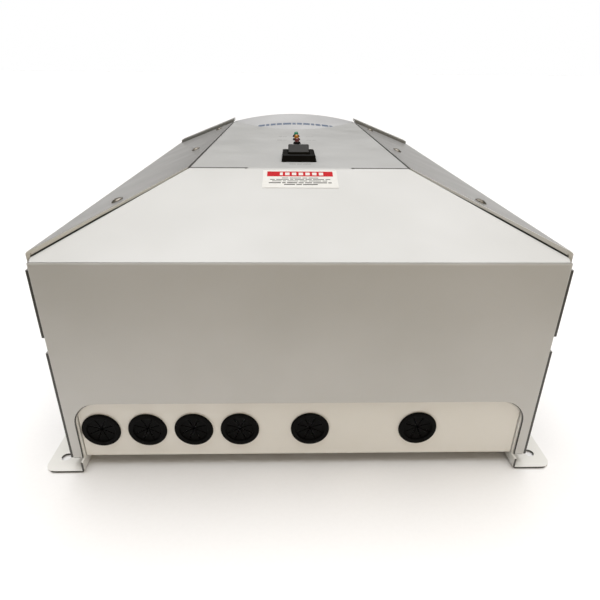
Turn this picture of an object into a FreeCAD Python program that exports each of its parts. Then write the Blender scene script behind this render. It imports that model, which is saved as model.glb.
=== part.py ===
import FreeCAD, Part
import Sketcher
import os
import re
from FreeCAD import Placement, Rotation, Vector

# Wall-mounted string inverter, millimetres.
# X runs across the width, +Y from the cable-entry end to the far end, +Z out of the wall.
# The origin is in the wall plane, under the middle of the enclosure.

SIZES = {
    # enclosure
    "cover_width": 408,
    "cover_length": 592,
    "top_height": 243,
    "top_width": 212,
    "slope_run": 141,
    "slope_rise": 44,
    "facet_drop": 38.5,
    "cover_sheet": 1.5,
    "side_sheet": 2.5,
    "chassis_sheet": 2,
    "bend_radius": 3,
    "seam_gap": 1.2,
    "facet_proud": 0.6,
    "fit_clearance": 0.3,
    "wall_gap": 12,
    "relief_length": 54,
    "relief_slit": 1.6,
    "relief_end_radius": 1.2,
    "louvre_width": 3.5,
    "louvre_height": 60,
    "louvre_run": 180,
    "louvre_count": 19,
    "notch_height": 14,
    "notch_drop": 77,
    "seam_sheet": 1.5,
    "seam_width": 31,
    "hem_sheet": 2,
    "hem_gap": 0.35,
    "hem_inset": 0.7,
    # mounting rails
    "flange_width": 24,
    "flange_corner": 10,
    "mounting_hole": 8.6,
    "hole_from_end": 13,
    "hole_from_edge": 13.5,
    "rail_height": 60,
    "rail_overhang": 5,
    # cable-entry end
    "leg_width": 9,
    "cutout_height": 71,
    "cutout_corner": 21.5,
    "entry_recess": 4,
    "entry_height": 90,
    "entry_flange": 16,
    "entry_foot": 26,
    "grommet_hole": 28,
    "grommet_lip": 3,
    "grommet_groove": 2.2,
    "grommet_height": 41,
    "grommet_pitch": 40.5,
    "grommet_margin": 2.4,
    "grommet_edge": 1.2,
    "grommet_slit": 0.5,
    "grommet_leaves": 8,
    "fifth_grommet_step": 62,
    "sixth_grommet_step": 95.9,
    # far end
    "end_recess": 14,
    "band_length": 26,
    "band_proud": 5,
    "band_inset": 8,
    "crest_length": 122,
    "crest_rise": 13,
    "foot_depth": 16,
    "vent_width": 60,
    "vent_slit": 3.5,
    "vent_run": 70,
    "vent_count": 8,
    # switch
    "switch_from_bend": 54.5,
    "bezel_lip": 2.2,
    "bezel_rise": 7,
    "bezel_flare": 1.4,
    "housing_wall": 1.5,
    "pivot_wall": 3.5,
    "housing_depth": 22,
    "paddle_width": 22,
    "paddle_length": 25,
    "paddle_end_height": 9.5,
    "paddle_gap": 0.6,
    "paddle_end_gap": 4,
    "paddle_tilt": 10,
    "pivot_radius": 2,
    "pivot_clearance": 0.05,
    "pivot_lift": 2,
    "blade_width": 6.3,
    "blade_sheet": 0.8,
    "blade_length": 9,
    # indicators
    "lamp_pitch": 35,
    "lamp_radius": 3,
    "lamp_rise": 7,
    "lamp_bezel_radius": 5,
    "lamp_wall": 1,
    "lamp_bezel_rise": 2.4,
    "lead_spacing": 2.54,
    "lead_width": 0.6,
    "lamp_board_drop": 12,
    "post_radius": 3,
    # label
    "label_width": 70,
    "label_length": 33,
    "label_sheet": 0.3,
    # heat sink, boards and fan
    "sink_width": 220,
    "sink_length": 240,
    "sink_base": 8,
    "fin_height": 48,
    "fin_sheet": 3,
    "fin_count": 12,
    "board_sheet": 1.6,
    "board_rise": 16,
    "board_inset": 5,
    "hex_radius": 4,
    "can_radius": 17.5,
    "can_height": 50,
    "can_pitch": 42,
    "package_width": 21,
    "package_length": 16,
    "package_height": 5,
    "package_pitch": 50,
    "clamp_width": 8,
    "clamp_length": 185,
    "clamp_sheet": 3,
    "ring_radius": 24,
    "ring_section": 11,
    "choke_width": 80,
    "choke_depth": 50,
    "choke_height": 66,
    "coil_width": 56,
    "coil_depth": 70,
    "coil_height": 44,
    "fuse_radius": 5,
    "fuse_length": 24,
    "holder_height": 16,
    "control_width": 150,
    "control_height": 70,
    "terminal_from_front": 95,
    "terminal_depth": 34,
    "terminal_height": 30,
    "terminal_pitch": 15,
    "terminal_foot": 12,
    "clamp_well_radius": 4.5,
    "clamp_screw_radius": 4,
    "ground_length": 70,
    "ground_section": 9,
    "ground_rise": 14,
    "ground_pitch": 11,
    "wire_hole_radius": 2.6,
    "fan_size": 92,
    "fan_depth": 25,
    "fan_rim": 2.5,
    "fan_tip_gap": 2,
    "fan_hub": 17,
    "blade_count": 7,
    "fan_blade_sheet": 1.6,
    "fan_spoke": 3,
    "shaft_length": 12,
    "guard_wire": 0.9,
    "guard_pitch": 9.5,
    "guard_loop": 3.5,
    # screws
    "screw_head": 5.5,
    "screw_shank": 2.1,
    "screw_length": 8,
    "fan_screw_length": 20,
    "screw_head_height": 2.6,
    "recess_width": 5,
    "recess_slot": 1,
    "recess_floor": 1.4,
}

document = FreeCAD.newDocument("string_inverter")
sheet = document.addObject("Spreadsheet::Sheet", "Sizes")
for row, (alias, value) in enumerate(SIZES.items(), start=1):
    sheet.set(f"A{row}", alias.replace("_", " "))
    sheet.set(f"B{row}", str(value))
    sheet.setAlias(f"B{row}", alias)
document.recompute()

# Places that several pieces share, as expressions of the sheet's sizes.
FRONT = "(-cover_length / 2)"
REAR = "(cover_length / 2)"
RAIL_FRONT = f"({FRONT} - rail_overhang - 1)"
RAIL_REAR = f"({REAR} + rail_overhang + 1)"
BEND = f"({FRONT} + slope_run)"
FRONT_HEIGHT = "(top_height - slope_rise)"
SLOPE_LENGTH = "sqrt(slope_run ^ 2 + slope_rise ^ 2)"
FACET_RUN = "(cover_width / 2 + side_sheet - top_width / 2 - seam_gap)"
FACET_DEPTH = f"(side_sheet * sqrt({FACET_RUN} ^ 2 + facet_drop ^ 2) / {FACET_RUN})"
FACET_TOP = "(top_height + facet_proud)"
SIDE_FACE = "(cover_width / 2 + side_sheet)"
RAIL_WEB = "(cover_width / 2 - leg_width + 1)"
FLOOR = "(wall_gap + chassis_sheet)"
CUTOUT_HALF = "(cover_width / 2 - leg_width)"
ENTRY_FACE = f"({FRONT} + entry_recess)"
END_FACE = f"({REAR} - end_recess)"
HEM_X = "(cover_width / 2 - hem_inset)"
HEM_Y = f"({FRONT} + 9)"
CREST_FRONT = f"({REAR} - crest_length)"
SWITCH_Y = f"({BEND} + switch_from_bend)"
GROMMET_FLANGE = "(grommet_hole + 2 * grommet_lip)"
OPENING_LENGTH = "(paddle_length + 2 * paddle_end_gap)"
HOUSING_LENGTH = f"({OPENING_LENGTH} + 2 * housing_wall)"
HOUSING_WIDTH = "(paddle_width + 2 * pivot_wall)"
BEZEL_WIDTH = f"({HOUSING_WIDTH} + 2 * bezel_lip + 2 * bezel_flare)"
BEZEL_LENGTH = f"({HOUSING_LENGTH} + 2 * bezel_lip + 2 * bezel_flare)"
BOARD_WIDTH = "(sink_width - 2 * board_inset)"
BOARD_LENGTH = "(sink_length - 4 * board_inset)"
CLAMP_X = f"({BOARD_WIDTH} / 2 - 14)"
FAN_BORE = "(fan_size / 2 - fan_rim)"
LAMP_Y = f"(({SWITCH_Y} + {BEZEL_LENGTH} / 2 + {CREST_FRONT}) / 2)"
PIVOT_Z = "(top_height + pivot_lift)"
FAN_Z = f"({FLOOR} + chassis_sheet + fan_size / 2 + 1)"
SINK_REAR = f"({END_FACE} - chassis_sheet - fan_depth - 8)"
SINK_Y = f"({SINK_REAR} - sink_length / 2)"
TERMINAL_Y = f"({FRONT} + terminal_from_front)"
CHOKE_Y = f"(({TERMINAL_Y} + terminal_depth / 2 + {SINK_REAR} - sink_length) / 2)"
WELL_FLOOR = f"({FLOOR} + terminal_foot + terminal_height - 8)"
SINK_TOP = f"({FLOOR} + fin_height + sink_base)"
BOARD_BOTTOM = f"({SINK_TOP} + board_rise)"
BOARD_TOP = f"({BOARD_BOTTOM} + board_sheet)"
FIRST_GROMMET = f"(grommet_margin + {GROMMET_FLANGE} / 2 - {CUTOUT_HALF})"
GROMMET_PLACES = [f"({FIRST_GROMMET} + {number} * grommet_pitch)" for number in range(4)]
GROMMET_PLACES.append(f"({GROMMET_PLACES[3]} + fifth_grommet_step)")
GROMMET_PLACES.append(f"({GROMMET_PLACES[4]} + sixth_grommet_step)")
LAMP_PLACES = [f"({LAMP_Y} + {step} * lamp_pitch)" for step in (-1, 0, 1)]
FACET_LEAN = f"(facet_drop / {FACET_RUN})"
FACET_SCREWS = [
    (f"({BEND} - 44)", "(top_width / 2 + 58)"),
    (f"({BEND} + 164)", "(top_width / 2 + 22)"),
    (f"({REAR} - 70)", "(top_width / 2 + 20)"),
]
RAIL_SCREWS = [
    (f"{share} * cover_length", "rail_height - 15")
    for share in ("-0.4", "-0.13", "0.13", "0.4")
]
FLOOR_SCREWS = [
    (f"{share} * top_width", y)
    for y in (f"({ENTRY_FACE} + 18)", f"({END_FACE} - foot_depth / 2)")
    for share in ("-0.8", "-0.3", "0.3", "0.8")
]
BOARD_CORNERS = [
    (f"{side} * ({BOARD_WIDTH} / 2 - 6)", f"{SINK_Y} + {end} * ({BOARD_LENGTH} / 2 - 6)")
    for side in (-1, 1)
    for end in (-1, 1)
]
FAN_CORNERS = [
    (f"{side} * (fan_size / 2 - 5)", f"{FAN_Z} + {level} * (fan_size / 2 - 5)")
    for side in (-1, 1)
    for level in (-1, 1)
]
TERMINAL_BLOCKS = (
    ("dc_terminal_block", f"({GROMMET_PLACES[1]} + 22)", 6),
    ("ac_terminal_block", f"({GROMMET_PLACES[5]} - 16)", 4),
)
GROUND_X = f"({GROMMET_PLACES[4]} - 14)"
FUSE_X = ("-60", "0", "60")
FUSE_Y = f"({SINK_Y} - 90)"


def bound(text):
    """Write the sheet's name before each of its aliases in an expression."""
    return re.sub(r"[a-z_]+", lambda m: f"Sizes.{m[0]}" if m[0] in SIZES else m[0], str(text))


def value_of(text):
    """Return the number that an expression of the sheet's sizes has now."""
    return float(sheet.evalExpression(bound(text)))


def bind(item, name, text):
    """Bind one property of an object to an expression of the sheet's sizes."""
    item.setExpression(name, bound(text))


def move(item, place):
    """Bind an object's position to three expressions."""
    for axis_name, text in zip("xyz", place):
        bind(item, f"Placement.Base.{axis_name}", text)
    return item


# ---- Part primitives and booleans -------------------------------------------------

def box(name, place, lengths):
    """Add a block centred on X and Y at place, standing on its Z."""
    item = document.addObject("Part::Box", name)
    for prop, text in zip(("Length", "Width", "Height"), lengths):
        bind(item, prop, text)
    x, y, z = place
    return move(item, (f"{x} - ({lengths[0]}) / 2", f"{y} - ({lengths[1]}) / 2", z))


def cylinder(name, place, radius, height, axis="z"):
    """Add a cylinder that starts at place and runs along a positive axis."""
    item = document.addObject("Part::Cylinder", name)
    bind(item, "Radius", radius)
    bind(item, "Height", height)
    turns = {
        "x": Rotation(Vector(0, 1, 0), 90),
        "y": Rotation(Vector(1, 0, 0), -90),
        "z": Rotation(),
    }
    item.Placement = Placement(Vector(), turns[axis])
    return move(item, place)


def cone(name, place, bottom, top, height, rotation=None):
    """Add a cone frustum that stands on place, turned if a rotation is given."""
    item = document.addObject("Part::Cone", name)
    bind(item, "Radius1", bottom)
    bind(item, "Radius2", top)
    bind(item, "Height", height)
    if rotation is not None:
        item.Placement = Placement(Vector(), rotation)
    return move(item, place)


def fuse(name, items):
    """Join objects to one solid."""
    item = document.addObject("Part::MultiFuse", name)
    item.Shapes = items
    return item


def cut(name, base, *tools):
    """Cut one or more tools out of a base object."""
    item = document.addObject("Part::Cut", name)
    item.Base = base
    item.Tool = tools[0] if len(tools) == 1 else fuse(f"{name}_tools", list(tools))
    return item


def group(name, items):
    """Keep identical or matching pieces together as separate solids of one node."""
    item = document.addObject("Part::Compound", name)
    item.Links = items
    return item


# ---- PartDesign bodies ------------------------------------------------------------

def new_body(name):
    return document.addObject("PartDesign::Body", name)


def new_sketch(body, name, role, offset=None):
    """Attach an empty sketch to one of the body's own origin planes."""
    sketch = body.newObject("Sketcher::SketchObject", name)
    planes = [item for item in body.Origin.OriginFeatures if item.Role == role]
    sketch.AttachmentSupport = [(planes[0], "")]
    sketch.MapMode = "FlatFace"
    if offset is not None:
        bind(sketch, "AttachmentOffset.Base.z", offset)
    return sketch


def polygon(body, name, role, points, offset=None):
    """Sketch a closed outline whose corners are bound to pairs of expressions."""
    sketch = new_sketch(body, name, role, offset)
    corners = [Vector(value_of(x), value_of(y), 0) for x, y in points]
    for index, corner in enumerate(corners):
        following = corners[(index + 1) % len(corners)]
        sketch.addGeometry(Part.LineSegment(corner, following), False)
    for index, (x, y) in enumerate(points):
        following = (index + 1) % len(points)
        sketch.addConstraint(Sketcher.Constraint("Coincident", index, 2, following, 1))
        for kind, text in (("DistanceX", x), ("DistanceY", y)):
            number = sketch.addConstraint(Sketcher.Constraint(kind, -1, 1, index, 1, value_of(text)))
            sketch.setExpression(f"Constraints[{number}]", bound(text))
    return sketch


def circles(body, name, role, centres, radius, offset=None):
    """Sketch equal circles whose centres and radius are bound to expressions."""
    sketch = new_sketch(body, name, role, offset)
    for index, (x, y) in enumerate(centres):
        centre = Vector(value_of(x), value_of(y), 0)
        sketch.addGeometry(Part.Circle(centre, Vector(0, 0, 1), value_of(radius)), False)
        for kind, text in (("DistanceX", x), ("DistanceY", y)):
            number = sketch.addConstraint(Sketcher.Constraint(kind, -1, 1, index, 3, value_of(text)))
            sketch.setExpression(f"Constraints[{number}]", bound(text))
        number = sketch.addConstraint(Sketcher.Constraint("Radius", index, value_of(radius)))
        sketch.setExpression(f"Constraints[{number}]", bound(radius))
    return sketch


def rectangle_points(x, y, width, length):
    """Corners of a rectangle that is centred on x and y."""
    left, right = f"{x} - ({width}) / 2", f"{x} + ({width}) / 2"
    near, far = f"{y} - ({length}) / 2", f"{y} + ({length}) / 2"
    return [(left, near), (right, near), (right, far), (left, far)]


def pad(body, sketch, length, reverse=False, midplane=False):
    """Raise a sketch to a solid."""
    feature = body.newObject("PartDesign::Pad", f"{sketch.Name}_pad")
    feature.Profile = sketch
    bind(feature, "Length", length)
    feature.Reversed = reverse
    feature.Midplane = midplane
    document.recompute()
    return feature


def pocket(body, sketch, length, reverse=False, midplane=False):
    """Cut a sketch out of the body, and make sure that it removes something."""
    before = body.Shape.Volume
    feature = body.newObject("PartDesign::Pocket", f"{sketch.Name}_pocket")
    feature.Profile = sketch
    bind(feature, "Length", length)
    feature.Reversed = reverse
    feature.Midplane = midplane
    document.recompute()
    if not body.Shape.Volume < before - 1e-6:
        raise RuntimeError(f"{feature.Name} removes nothing")
    return feature


def edges_where(shape, test):
    """Name the edges of a shape whose middle point passes a test."""
    names = []
    for index, edge in enumerate(shape.Edges, start=1):
        middle = edge.valueAt((edge.FirstParameter + edge.LastParameter) / 2)
        if test(edge, middle):
            names.append(f"Edge{index}")
    return names


def fillet(body, name, base, radius, test):
    """Round the edges of a feature that pass a test."""
    names = edges_where(base.Shape, test)
    if not names:
        raise RuntimeError(f"{name} has no edge to round")
    feature = body.newObject("PartDesign::Fillet", name)
    feature.Base = (base, names)
    bind(feature, "Radius", radius)
    document.recompute()
    return feature


def runs_along(edge, axis):
    """Tell whether an edge is straight and lies along an axis."""
    if edge.Curve.TypeId != "Part::GeomLine":
        return False
    return abs(abs(edge.tangentAt(edge.FirstParameter).dot(axis)) - 1) < 1e-6


# ---- enclosure --------------------------------------------------------------------

def make_mounting_rail(name, side):
    """L-section rail: web beside the chassis pan, flange out over the wall with two holes."""
    body = new_body(name)
    web = f"{side} * {RAIL_WEB}"
    edge = f"{side} * ({SIDE_FACE} + flange_width)"
    profile = polygon(body, f"{name}_section", "XZ_Plane", [
        (f"{side} * ({RAIL_WEB} - chassis_sheet)", "0"),
        (edge, "0"),
        (edge, "chassis_sheet"),
        (web, "chassis_sheet"),
        (web, "rail_height"),
        (f"{side} * ({RAIL_WEB} - chassis_sheet)", "rail_height"),
    ])
    section = pad(body, profile, "cover_length + 2 * rail_overhang", midplane=True)
    outer = abs(value_of(edge))
    corners = fillet(body, f"{name}_corners", section, "flange_corner",
                     lambda e, m: abs(abs(m.x) - outer) < 0.01 and runs_along(e, Vector(0, 0, 1)))
    heel = abs(value_of(f"{RAIL_WEB} - chassis_sheet"))
    fillet(body, f"{name}_bend", corners, "bend_radius",
           lambda e, m: abs(abs(m.x) - heel) < 0.01 and m.z < 0.01 and runs_along(e, Vector(0, 1, 0)))
    holes = circles(body, f"{name}_holes", "XY_Plane", [
        (f"{side} * ({SIDE_FACE} + flange_width - hole_from_edge)", f"{FRONT} + hole_from_end"),
        (f"{side} * ({SIDE_FACE} + flange_width - hole_from_edge)", f"{REAR} - hole_from_end"),
    ], "mounting_hole / 2")
    pocket(body, holes, "chassis_sheet * 3", midplane=True)
    for end, near, far in (("front", RAIL_FRONT, f"{FRONT} + cover_sheet + fit_clearance"),
                           ("rear", f"{END_FACE} - fit_clearance", RAIL_REAR)):
        notch = polygon(body, f"{name}_{end}_notch", "YZ_Plane", [
            (near, "wall_gap - fit_clearance"),
            (far, "wall_gap - fit_clearance"),
            (far, "rail_height + 1"),
            (near, "rail_height + 1"),
        ])
        pocket(body, notch, "cover_width * 2", midplane=True)
    drill_rail_holes(body, name)
    return body


def drill_rail_holes(body, name):
    """Cut the screw holes that a rail's web and the pan's side share."""
    holes = circles(body, f"{name}_screw_holes", "YZ_Plane", RAIL_SCREWS, "screw_shank + fit_clearance / 2")
    pocket(body, holes, "cover_width * 2", midplane=True)


def drill_floor_holes(body, name, places):
    """Cut the holes of screws that stand upright in the pan's floor."""
    holes = circles(body, f"{name}_floor_holes", "XY_Plane", places, "screw_shank + fit_clearance / 2")
    pocket(body, holes, "rail_height", midplane=True)


def make_chassis_pan():
    """Folded pan that stands off the wall between the two rails."""
    body = new_body("chassis_pan")
    outside = f"({RAIL_WEB} - chassis_sheet - fit_clearance)"
    inside = f"({outside} - chassis_sheet)"
    profile = polygon(body, "pan_section", "XZ_Plane", [
        (f"-{outside}", "wall_gap"),
        (outside, "wall_gap"),
        (outside, "rail_height"),
        (inside, "rail_height"),
        (inside, FLOOR),
        (f"-{inside}", FLOOR),
        (f"-{inside}", "rail_height"),
        (f"-{outside}", "rail_height"),
    ])
    long_pan = pad(body, profile, "cover_length - 2 * end_recess", midplane=True)
    far = value_of(outside)
    fillet(body, "pan_bend", long_pan, "bend_radius",
           lambda e, m: abs(abs(m.x) - far) < 0.01 and abs(m.z - value_of("wall_gap")) < 0.01
           and runs_along(e, Vector(0, 1, 0)))
    drill_rail_holes(body, "pan")
    drill_floor_holes(body, "pan", FLOOR_SCREWS)
    return body


def make_cable_entry_plate():
    """End plate behind the cover's cut-out, with the grommet holes and a top flange."""
    body = new_body("cable_entry_plate")
    half = f"({RAIL_WEB} - chassis_sheet - 2 * fit_clearance)"
    profile = polygon(body, "entry_section", "YZ_Plane", [
        (ENTRY_FACE, "wall_gap"),
        (f"{ENTRY_FACE} + chassis_sheet", "wall_gap"),
        (f"{ENTRY_FACE} + chassis_sheet", FLOOR),
        (f"{ENTRY_FACE} + entry_foot", FLOOR),
        (f"{ENTRY_FACE} + entry_foot", f"{FLOOR} + chassis_sheet"),
        (f"{ENTRY_FACE} + chassis_sheet", f"{FLOOR} + chassis_sheet"),
        (f"{ENTRY_FACE} + chassis_sheet", "entry_height - chassis_sheet"),
        (f"{ENTRY_FACE} + entry_flange", "entry_height - chassis_sheet"),
        (f"{ENTRY_FACE} + entry_flange", "entry_height"),
        (ENTRY_FACE, "entry_height"),
    ])
    plate = pad(body, profile, f"2 * {half}", midplane=True)
    near, top = value_of(ENTRY_FACE), value_of("entry_height")
    fillet(body, "entry_bend", plate, "bend_radius",
           lambda e, m: abs(m.y - near) < 0.01 and abs(m.z - top) < 0.01)
    holes = circles(body, "entry_holes", "XZ_Plane",
                    [(x, "grommet_height") for x in GROMMET_PLACES], "grommet_hole / 2")
    pocket(body, holes, "cover_length * 2", midplane=True)
    wing = f"({RAIL_WEB} - 2 * chassis_sheet - 3 * fit_clearance)"
    for side_name, side in (("left", "-1"), ("right", "1")):
        trim = polygon(body, f"entry_flange_{side_name}", "XY_Plane", [
            (f"{side} * {wing}", f"{ENTRY_FACE} + entry_flange / 2"),
            (f"{side} * cover_width", f"{ENTRY_FACE} + entry_flange / 2"),
            (f"{side} * cover_width", f"{ENTRY_FACE} + entry_foot + 4"),
            (f"{side} * {wing}", f"{ENTRY_FACE} + entry_foot + 4"),
        ])
        pocket(body, trim, "top_height", reverse=True)
    drill_floor_holes(body, "entry", FLOOR_SCREWS[:4])
    return body


def make_front_cover():
    """White cover: end wall with its cable cut-out, sloped panel and flat top, one bent sheet."""
    body = new_body("front_cover")
    lean = "(slope_rise / slope_run)"
    depth = f"(cover_sheet * {SLOPE_LENGTH} / slope_run)"
    half_turn = f"(slope_rise / ({SLOPE_LENGTH} + slope_run))"
    profile = polygon(body, "cover_section", "YZ_Plane", [
        (FRONT, "wall_gap"),
        (f"{FRONT} + cover_sheet", "wall_gap"),
        (f"{FRONT} + cover_sheet", f"{FRONT_HEIGHT} + cover_sheet * {lean} - {depth}"),
        (f"{BEND} + cover_sheet * {half_turn}", "top_height - cover_sheet"),
        (REAR, "top_height - cover_sheet"),
        (REAR, "top_height"),
        (BEND, "top_height"),
        (FRONT, FRONT_HEIGHT),
    ])
    folded = pad(body, profile, "cover_width", midplane=True)
    front, height = value_of(FRONT), value_of(FRONT_HEIGHT)
    fillet(body, "front_bend", folded, "bend_radius",
           lambda e, m: abs(m.y - front) < 0.01 and abs(m.z - height) < 0.01)
    for side_name, side in (("left", "-1"), ("right", "1")):
        trim = polygon(body, f"trim_{side_name}", "XY_Plane", [
            (f"{side} * cover_width / 2", f"{FRONT} + 7"),
            (f"{side} * top_width / 2", BEND),
            (f"{side} * top_width / 2", f"{REAR} + 1"),
            (f"{side} * (cover_width / 2 + 5)", f"{REAR} + 1"),
            (f"{side} * (cover_width / 2 + 5)", f"{FRONT} + 1.6"),
            (f"{side} * (cover_width / 2 - 1)", f"{FRONT} + 1.6"),
        ], offset="entry_height")
        pocket(body, trim, "top_height", reverse=True)
    cutout = polygon(body, "cable_cutout", "XZ_Plane", [
        (f"-{CUTOUT_HALF}", "wall_gap - 1"),
        (CUTOUT_HALF, "wall_gap - 1"),
        (CUTOUT_HALF, "cutout_height"),
        (f"-{CUTOUT_HALF}", "cutout_height"),
    ], offset=f"-{FRONT} - 20")
    opened = pocket(body, cutout, "40", reverse=True)
    top = value_of("cutout_height")
    fillet(body, "cutout_corners", opened, "cutout_corner",
           lambda e, m: abs(m.z - top) < 0.01 and runs_along(e, Vector(0, 1, 0)))
    for number, side in enumerate(("-1", "1")):
        slit = rectangle_points(f"{side} * (top_width / 2 - relief_length / 2)",
                                f"{BEND} + relief_slit / 2", "relief_length", "relief_slit")
        slot = polygon(body, f"relief_slot_{number}", "XY_Plane", slit, offset="entry_height")
        pocket(body, slot, "top_height", reverse=True)
    relief_ends = [
        (f"{side} * (top_width / 2 - relief_length)", f"{BEND} + relief_slit / 2")
        for side in ("-1", "1")
    ]
    ends = circles(body, "relief_ends", "XY_Plane", relief_ends, "relief_end_radius",
                   offset="entry_height")
    pocket(body, ends, "top_height", reverse=True)
    window = polygon(body, "switch_window", "XY_Plane",
                     rectangle_points("0", SWITCH_Y, f"{HOUSING_WIDTH} + 2 * fit_clearance",
                                      f"{HOUSING_LENGTH} + 2 * fit_clearance"), offset="entry_height")
    pocket(body, window, "top_height", reverse=True)
    lamps = circles(body, "lamp_holes", "XY_Plane", [("0", y) for y in LAMP_PLACES],
                    "lamp_radius + lamp_wall + fit_clearance / 2", offset="entry_height")
    pocket(body, lamps, "top_height", reverse=True)
    return body


def add_hem(body, name, side, inner_x):
    """Start a side cover with its hem, from the facet's inner edge down to the sloped panel."""
    hem = polygon(body, f"{name}_hem", "XY_Plane", [
        (f"{side} * {HEM_X}", HEM_Y),
        (f"{side} * ({HEM_X} + hem_sheet)", HEM_Y),
        (f"{side} * ({inner_x} + hem_sheet)", BEND),
        (f"{side} * {inner_x}", BEND),
    ], offset="top_height - slope_rise")
    pad(body, hem, "slope_rise")
    upper = polygon(body, f"{name}_hem_top", "XZ_Plane", [
        (f"{side} * {inner_x}", FACET_TOP),
        (f"{side} * {SIDE_FACE}", f"{FACET_TOP} - facet_drop"),
        (f"{side} * {SIDE_FACE}", f"{FACET_TOP} + 1"),
        (f"{side} * {inner_x}", f"{FACET_TOP} + 1"),
    ])
    pocket(body, upper, "cover_length * 2", midplane=True)
    rise = "(slope_rise / slope_run)"
    lower = polygon(body, f"{name}_hem_foot", "YZ_Plane", [
        (f"{FRONT} + 1", "entry_height"),
        (BEND, "entry_height"),
        (BEND, "top_height + hem_gap"),
        (f"{FRONT} + 1", f"{FRONT_HEIGHT} + {rise} + hem_gap"),
    ])
    pocket(body, lower, "cover_width", midplane=True)


def make_side_cover(name, side):
    """Side cover: vertical wall with louvre slots, its top folded in as the flat facet."""
    body = new_body(name)
    inner_x = "(top_width / 2 + seam_gap)"
    outer_z = f"({FACET_TOP} - facet_drop)"
    add_hem(body, name, side, inner_x)
    profile = polygon(body, f"{name}_section", "XZ_Plane", [
        (f"{side} * {SIDE_FACE}", "wall_gap"),
        (f"{side} * {SIDE_FACE}", outer_z),
        (f"{side} * {inner_x}", FACET_TOP),
        (f"{side} * {inner_x}", f"{FACET_TOP} - {FACET_DEPTH}"),
        (f"{side} * ({SIDE_FACE} - side_sheet)", f"{outer_z} + side_sheet * {FACET_LEAN} - {FACET_DEPTH}"),
        (f"{side} * ({SIDE_FACE} - side_sheet)", "wall_gap"),
    ])
    folded = pad(body, profile, "cover_length - 2", midplane=True)
    outer, height = abs(value_of(SIDE_FACE)), value_of(outer_z)
    fillet(body, f"{name}_bend", folded, "bend_radius",
           lambda e, m: abs(abs(m.x) - outer) < 0.01 and abs(m.z - height) < 0.01
           and runs_along(e, Vector(0, 1, 0)))
    trim = polygon(body, f"{name}_trim", "XY_Plane", [
        (f"{side} * top_width / 4", f"{FRONT} - 1"),
        (f"{side} * ({SIDE_FACE} + 1)", f"{FRONT} - 1"),
        (f"{side} * ({SIDE_FACE} + 1)", f"{FRONT} + 6"),
        (f"{side} * {HEM_X}", HEM_Y),
        (f"{side} * {inner_x}", BEND),
        (f"{side} * top_width / 4", BEND),
    ], offset=f"{outer_z} - 12")
    pocket(body, trim, "top_height", reverse=True)
    holes = circles(body, f"{name}_screw_holes", "XY_Plane",
                    [(f"{side} * ({x} - side_sheet * {FACET_LEAN} / 2)", y) for y, x in FACET_SCREWS],
                    "screw_shank + 0.7", offset=f"{outer_z} - 12")
    pocket(body, holes, "top_height", reverse=True)
    notch = polygon(body, f"{name}_notch", "YZ_Plane",
                    rectangle_points(f"{FRONT} + 3", f"{outer_z} - notch_drop", "8", "notch_height"))
    pocket(body, notch, "cover_width * 2", midplane=True)
    louvres = polygon(body, f"{name}_louvre", "YZ_Plane",
                      rectangle_points(f"{REAR} - louvre_run - 50", "rail_height + louvre_height * 0.75",
                                       "louvre_width", "louvre_height"))
    slot = pocket(body, louvres, "cover_width * 2", midplane=True)
    pattern = body.newObject("PartDesign::LinearPattern", f"{name}_louvres")
    pattern.Originals = [slot]
    pattern.Direction = (louvres, ["H_Axis"])
    bind(pattern, "Length", "louvre_run")
    bind(pattern, "Occurrences", "louvre_count")
    body.Tip = pattern
    document.recompute()
    return body


def make_seam_rail(name, side):
    """Bent strip under the seam that the facet screws bite into."""
    body = new_body(name)
    near_x, far_x = "(top_width / 2 + seam_gap + 3)", f"({SIDE_FACE} - side_sheet - 1)"
    near_z = f"({FACET_TOP} - {FACET_DEPTH} - 3 * {FACET_LEAN})"
    far_z = f"({near_z} - ({far_x} - {near_x}) * {FACET_LEAN})"
    outer_x = f"({near_x} + seam_width + 3)"
    profile = polygon(body, f"{name}_section", "XZ_Plane", [
        (f"{side} * {far_x}", far_z),
        (f"{side} * {near_x}", near_z),
        (f"{side} * {near_x}", f"{near_z} - seam_sheet"),
        (f"{side} * {far_x}", f"{far_z} - seam_sheet"),
    ])
    pad(body, profile, "cover_length - 2 * end_recess - 2 * chassis_sheet", midplane=True)
    for end, points in (
        ("inner", [("top_width / 4", f"{FRONT} - 1"), ("cover_width / 2 + 1", f"{FRONT} - 1"),
                   ("cover_width / 2 - 3", f"{FRONT} + 18"), (near_x, f"{BEND} + 4"),
                   ("top_width / 4", f"{BEND} + 4")]),
        ("outer", [(outer_x, f"{REAR} + 1"), (outer_x, f"{BEND} - 5"),
                   ("cover_width / 2 + 1", f"{FRONT} + 56"), ("cover_width / 2 + 1", f"{REAR} + 1")]),
    ):
        trim = polygon(body, f"{name}_{end}_trim", "XY_Plane",
                       [(f"{side} * ({x})", y) for x, y in points], offset="entry_height")
        pocket(body, trim, "top_height", reverse=True)
    holes = circles(body, f"{name}_screw_holes", "XY_Plane",
                    [(f"{side} * ({x} - 1.4 * side_sheet * {FACET_LEAN})", y) for y, x in FACET_SCREWS],
                    "screw_shank + 0.5", offset="entry_height")
    pocket(body, holes, "top_height", reverse=True)
    return body


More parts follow.
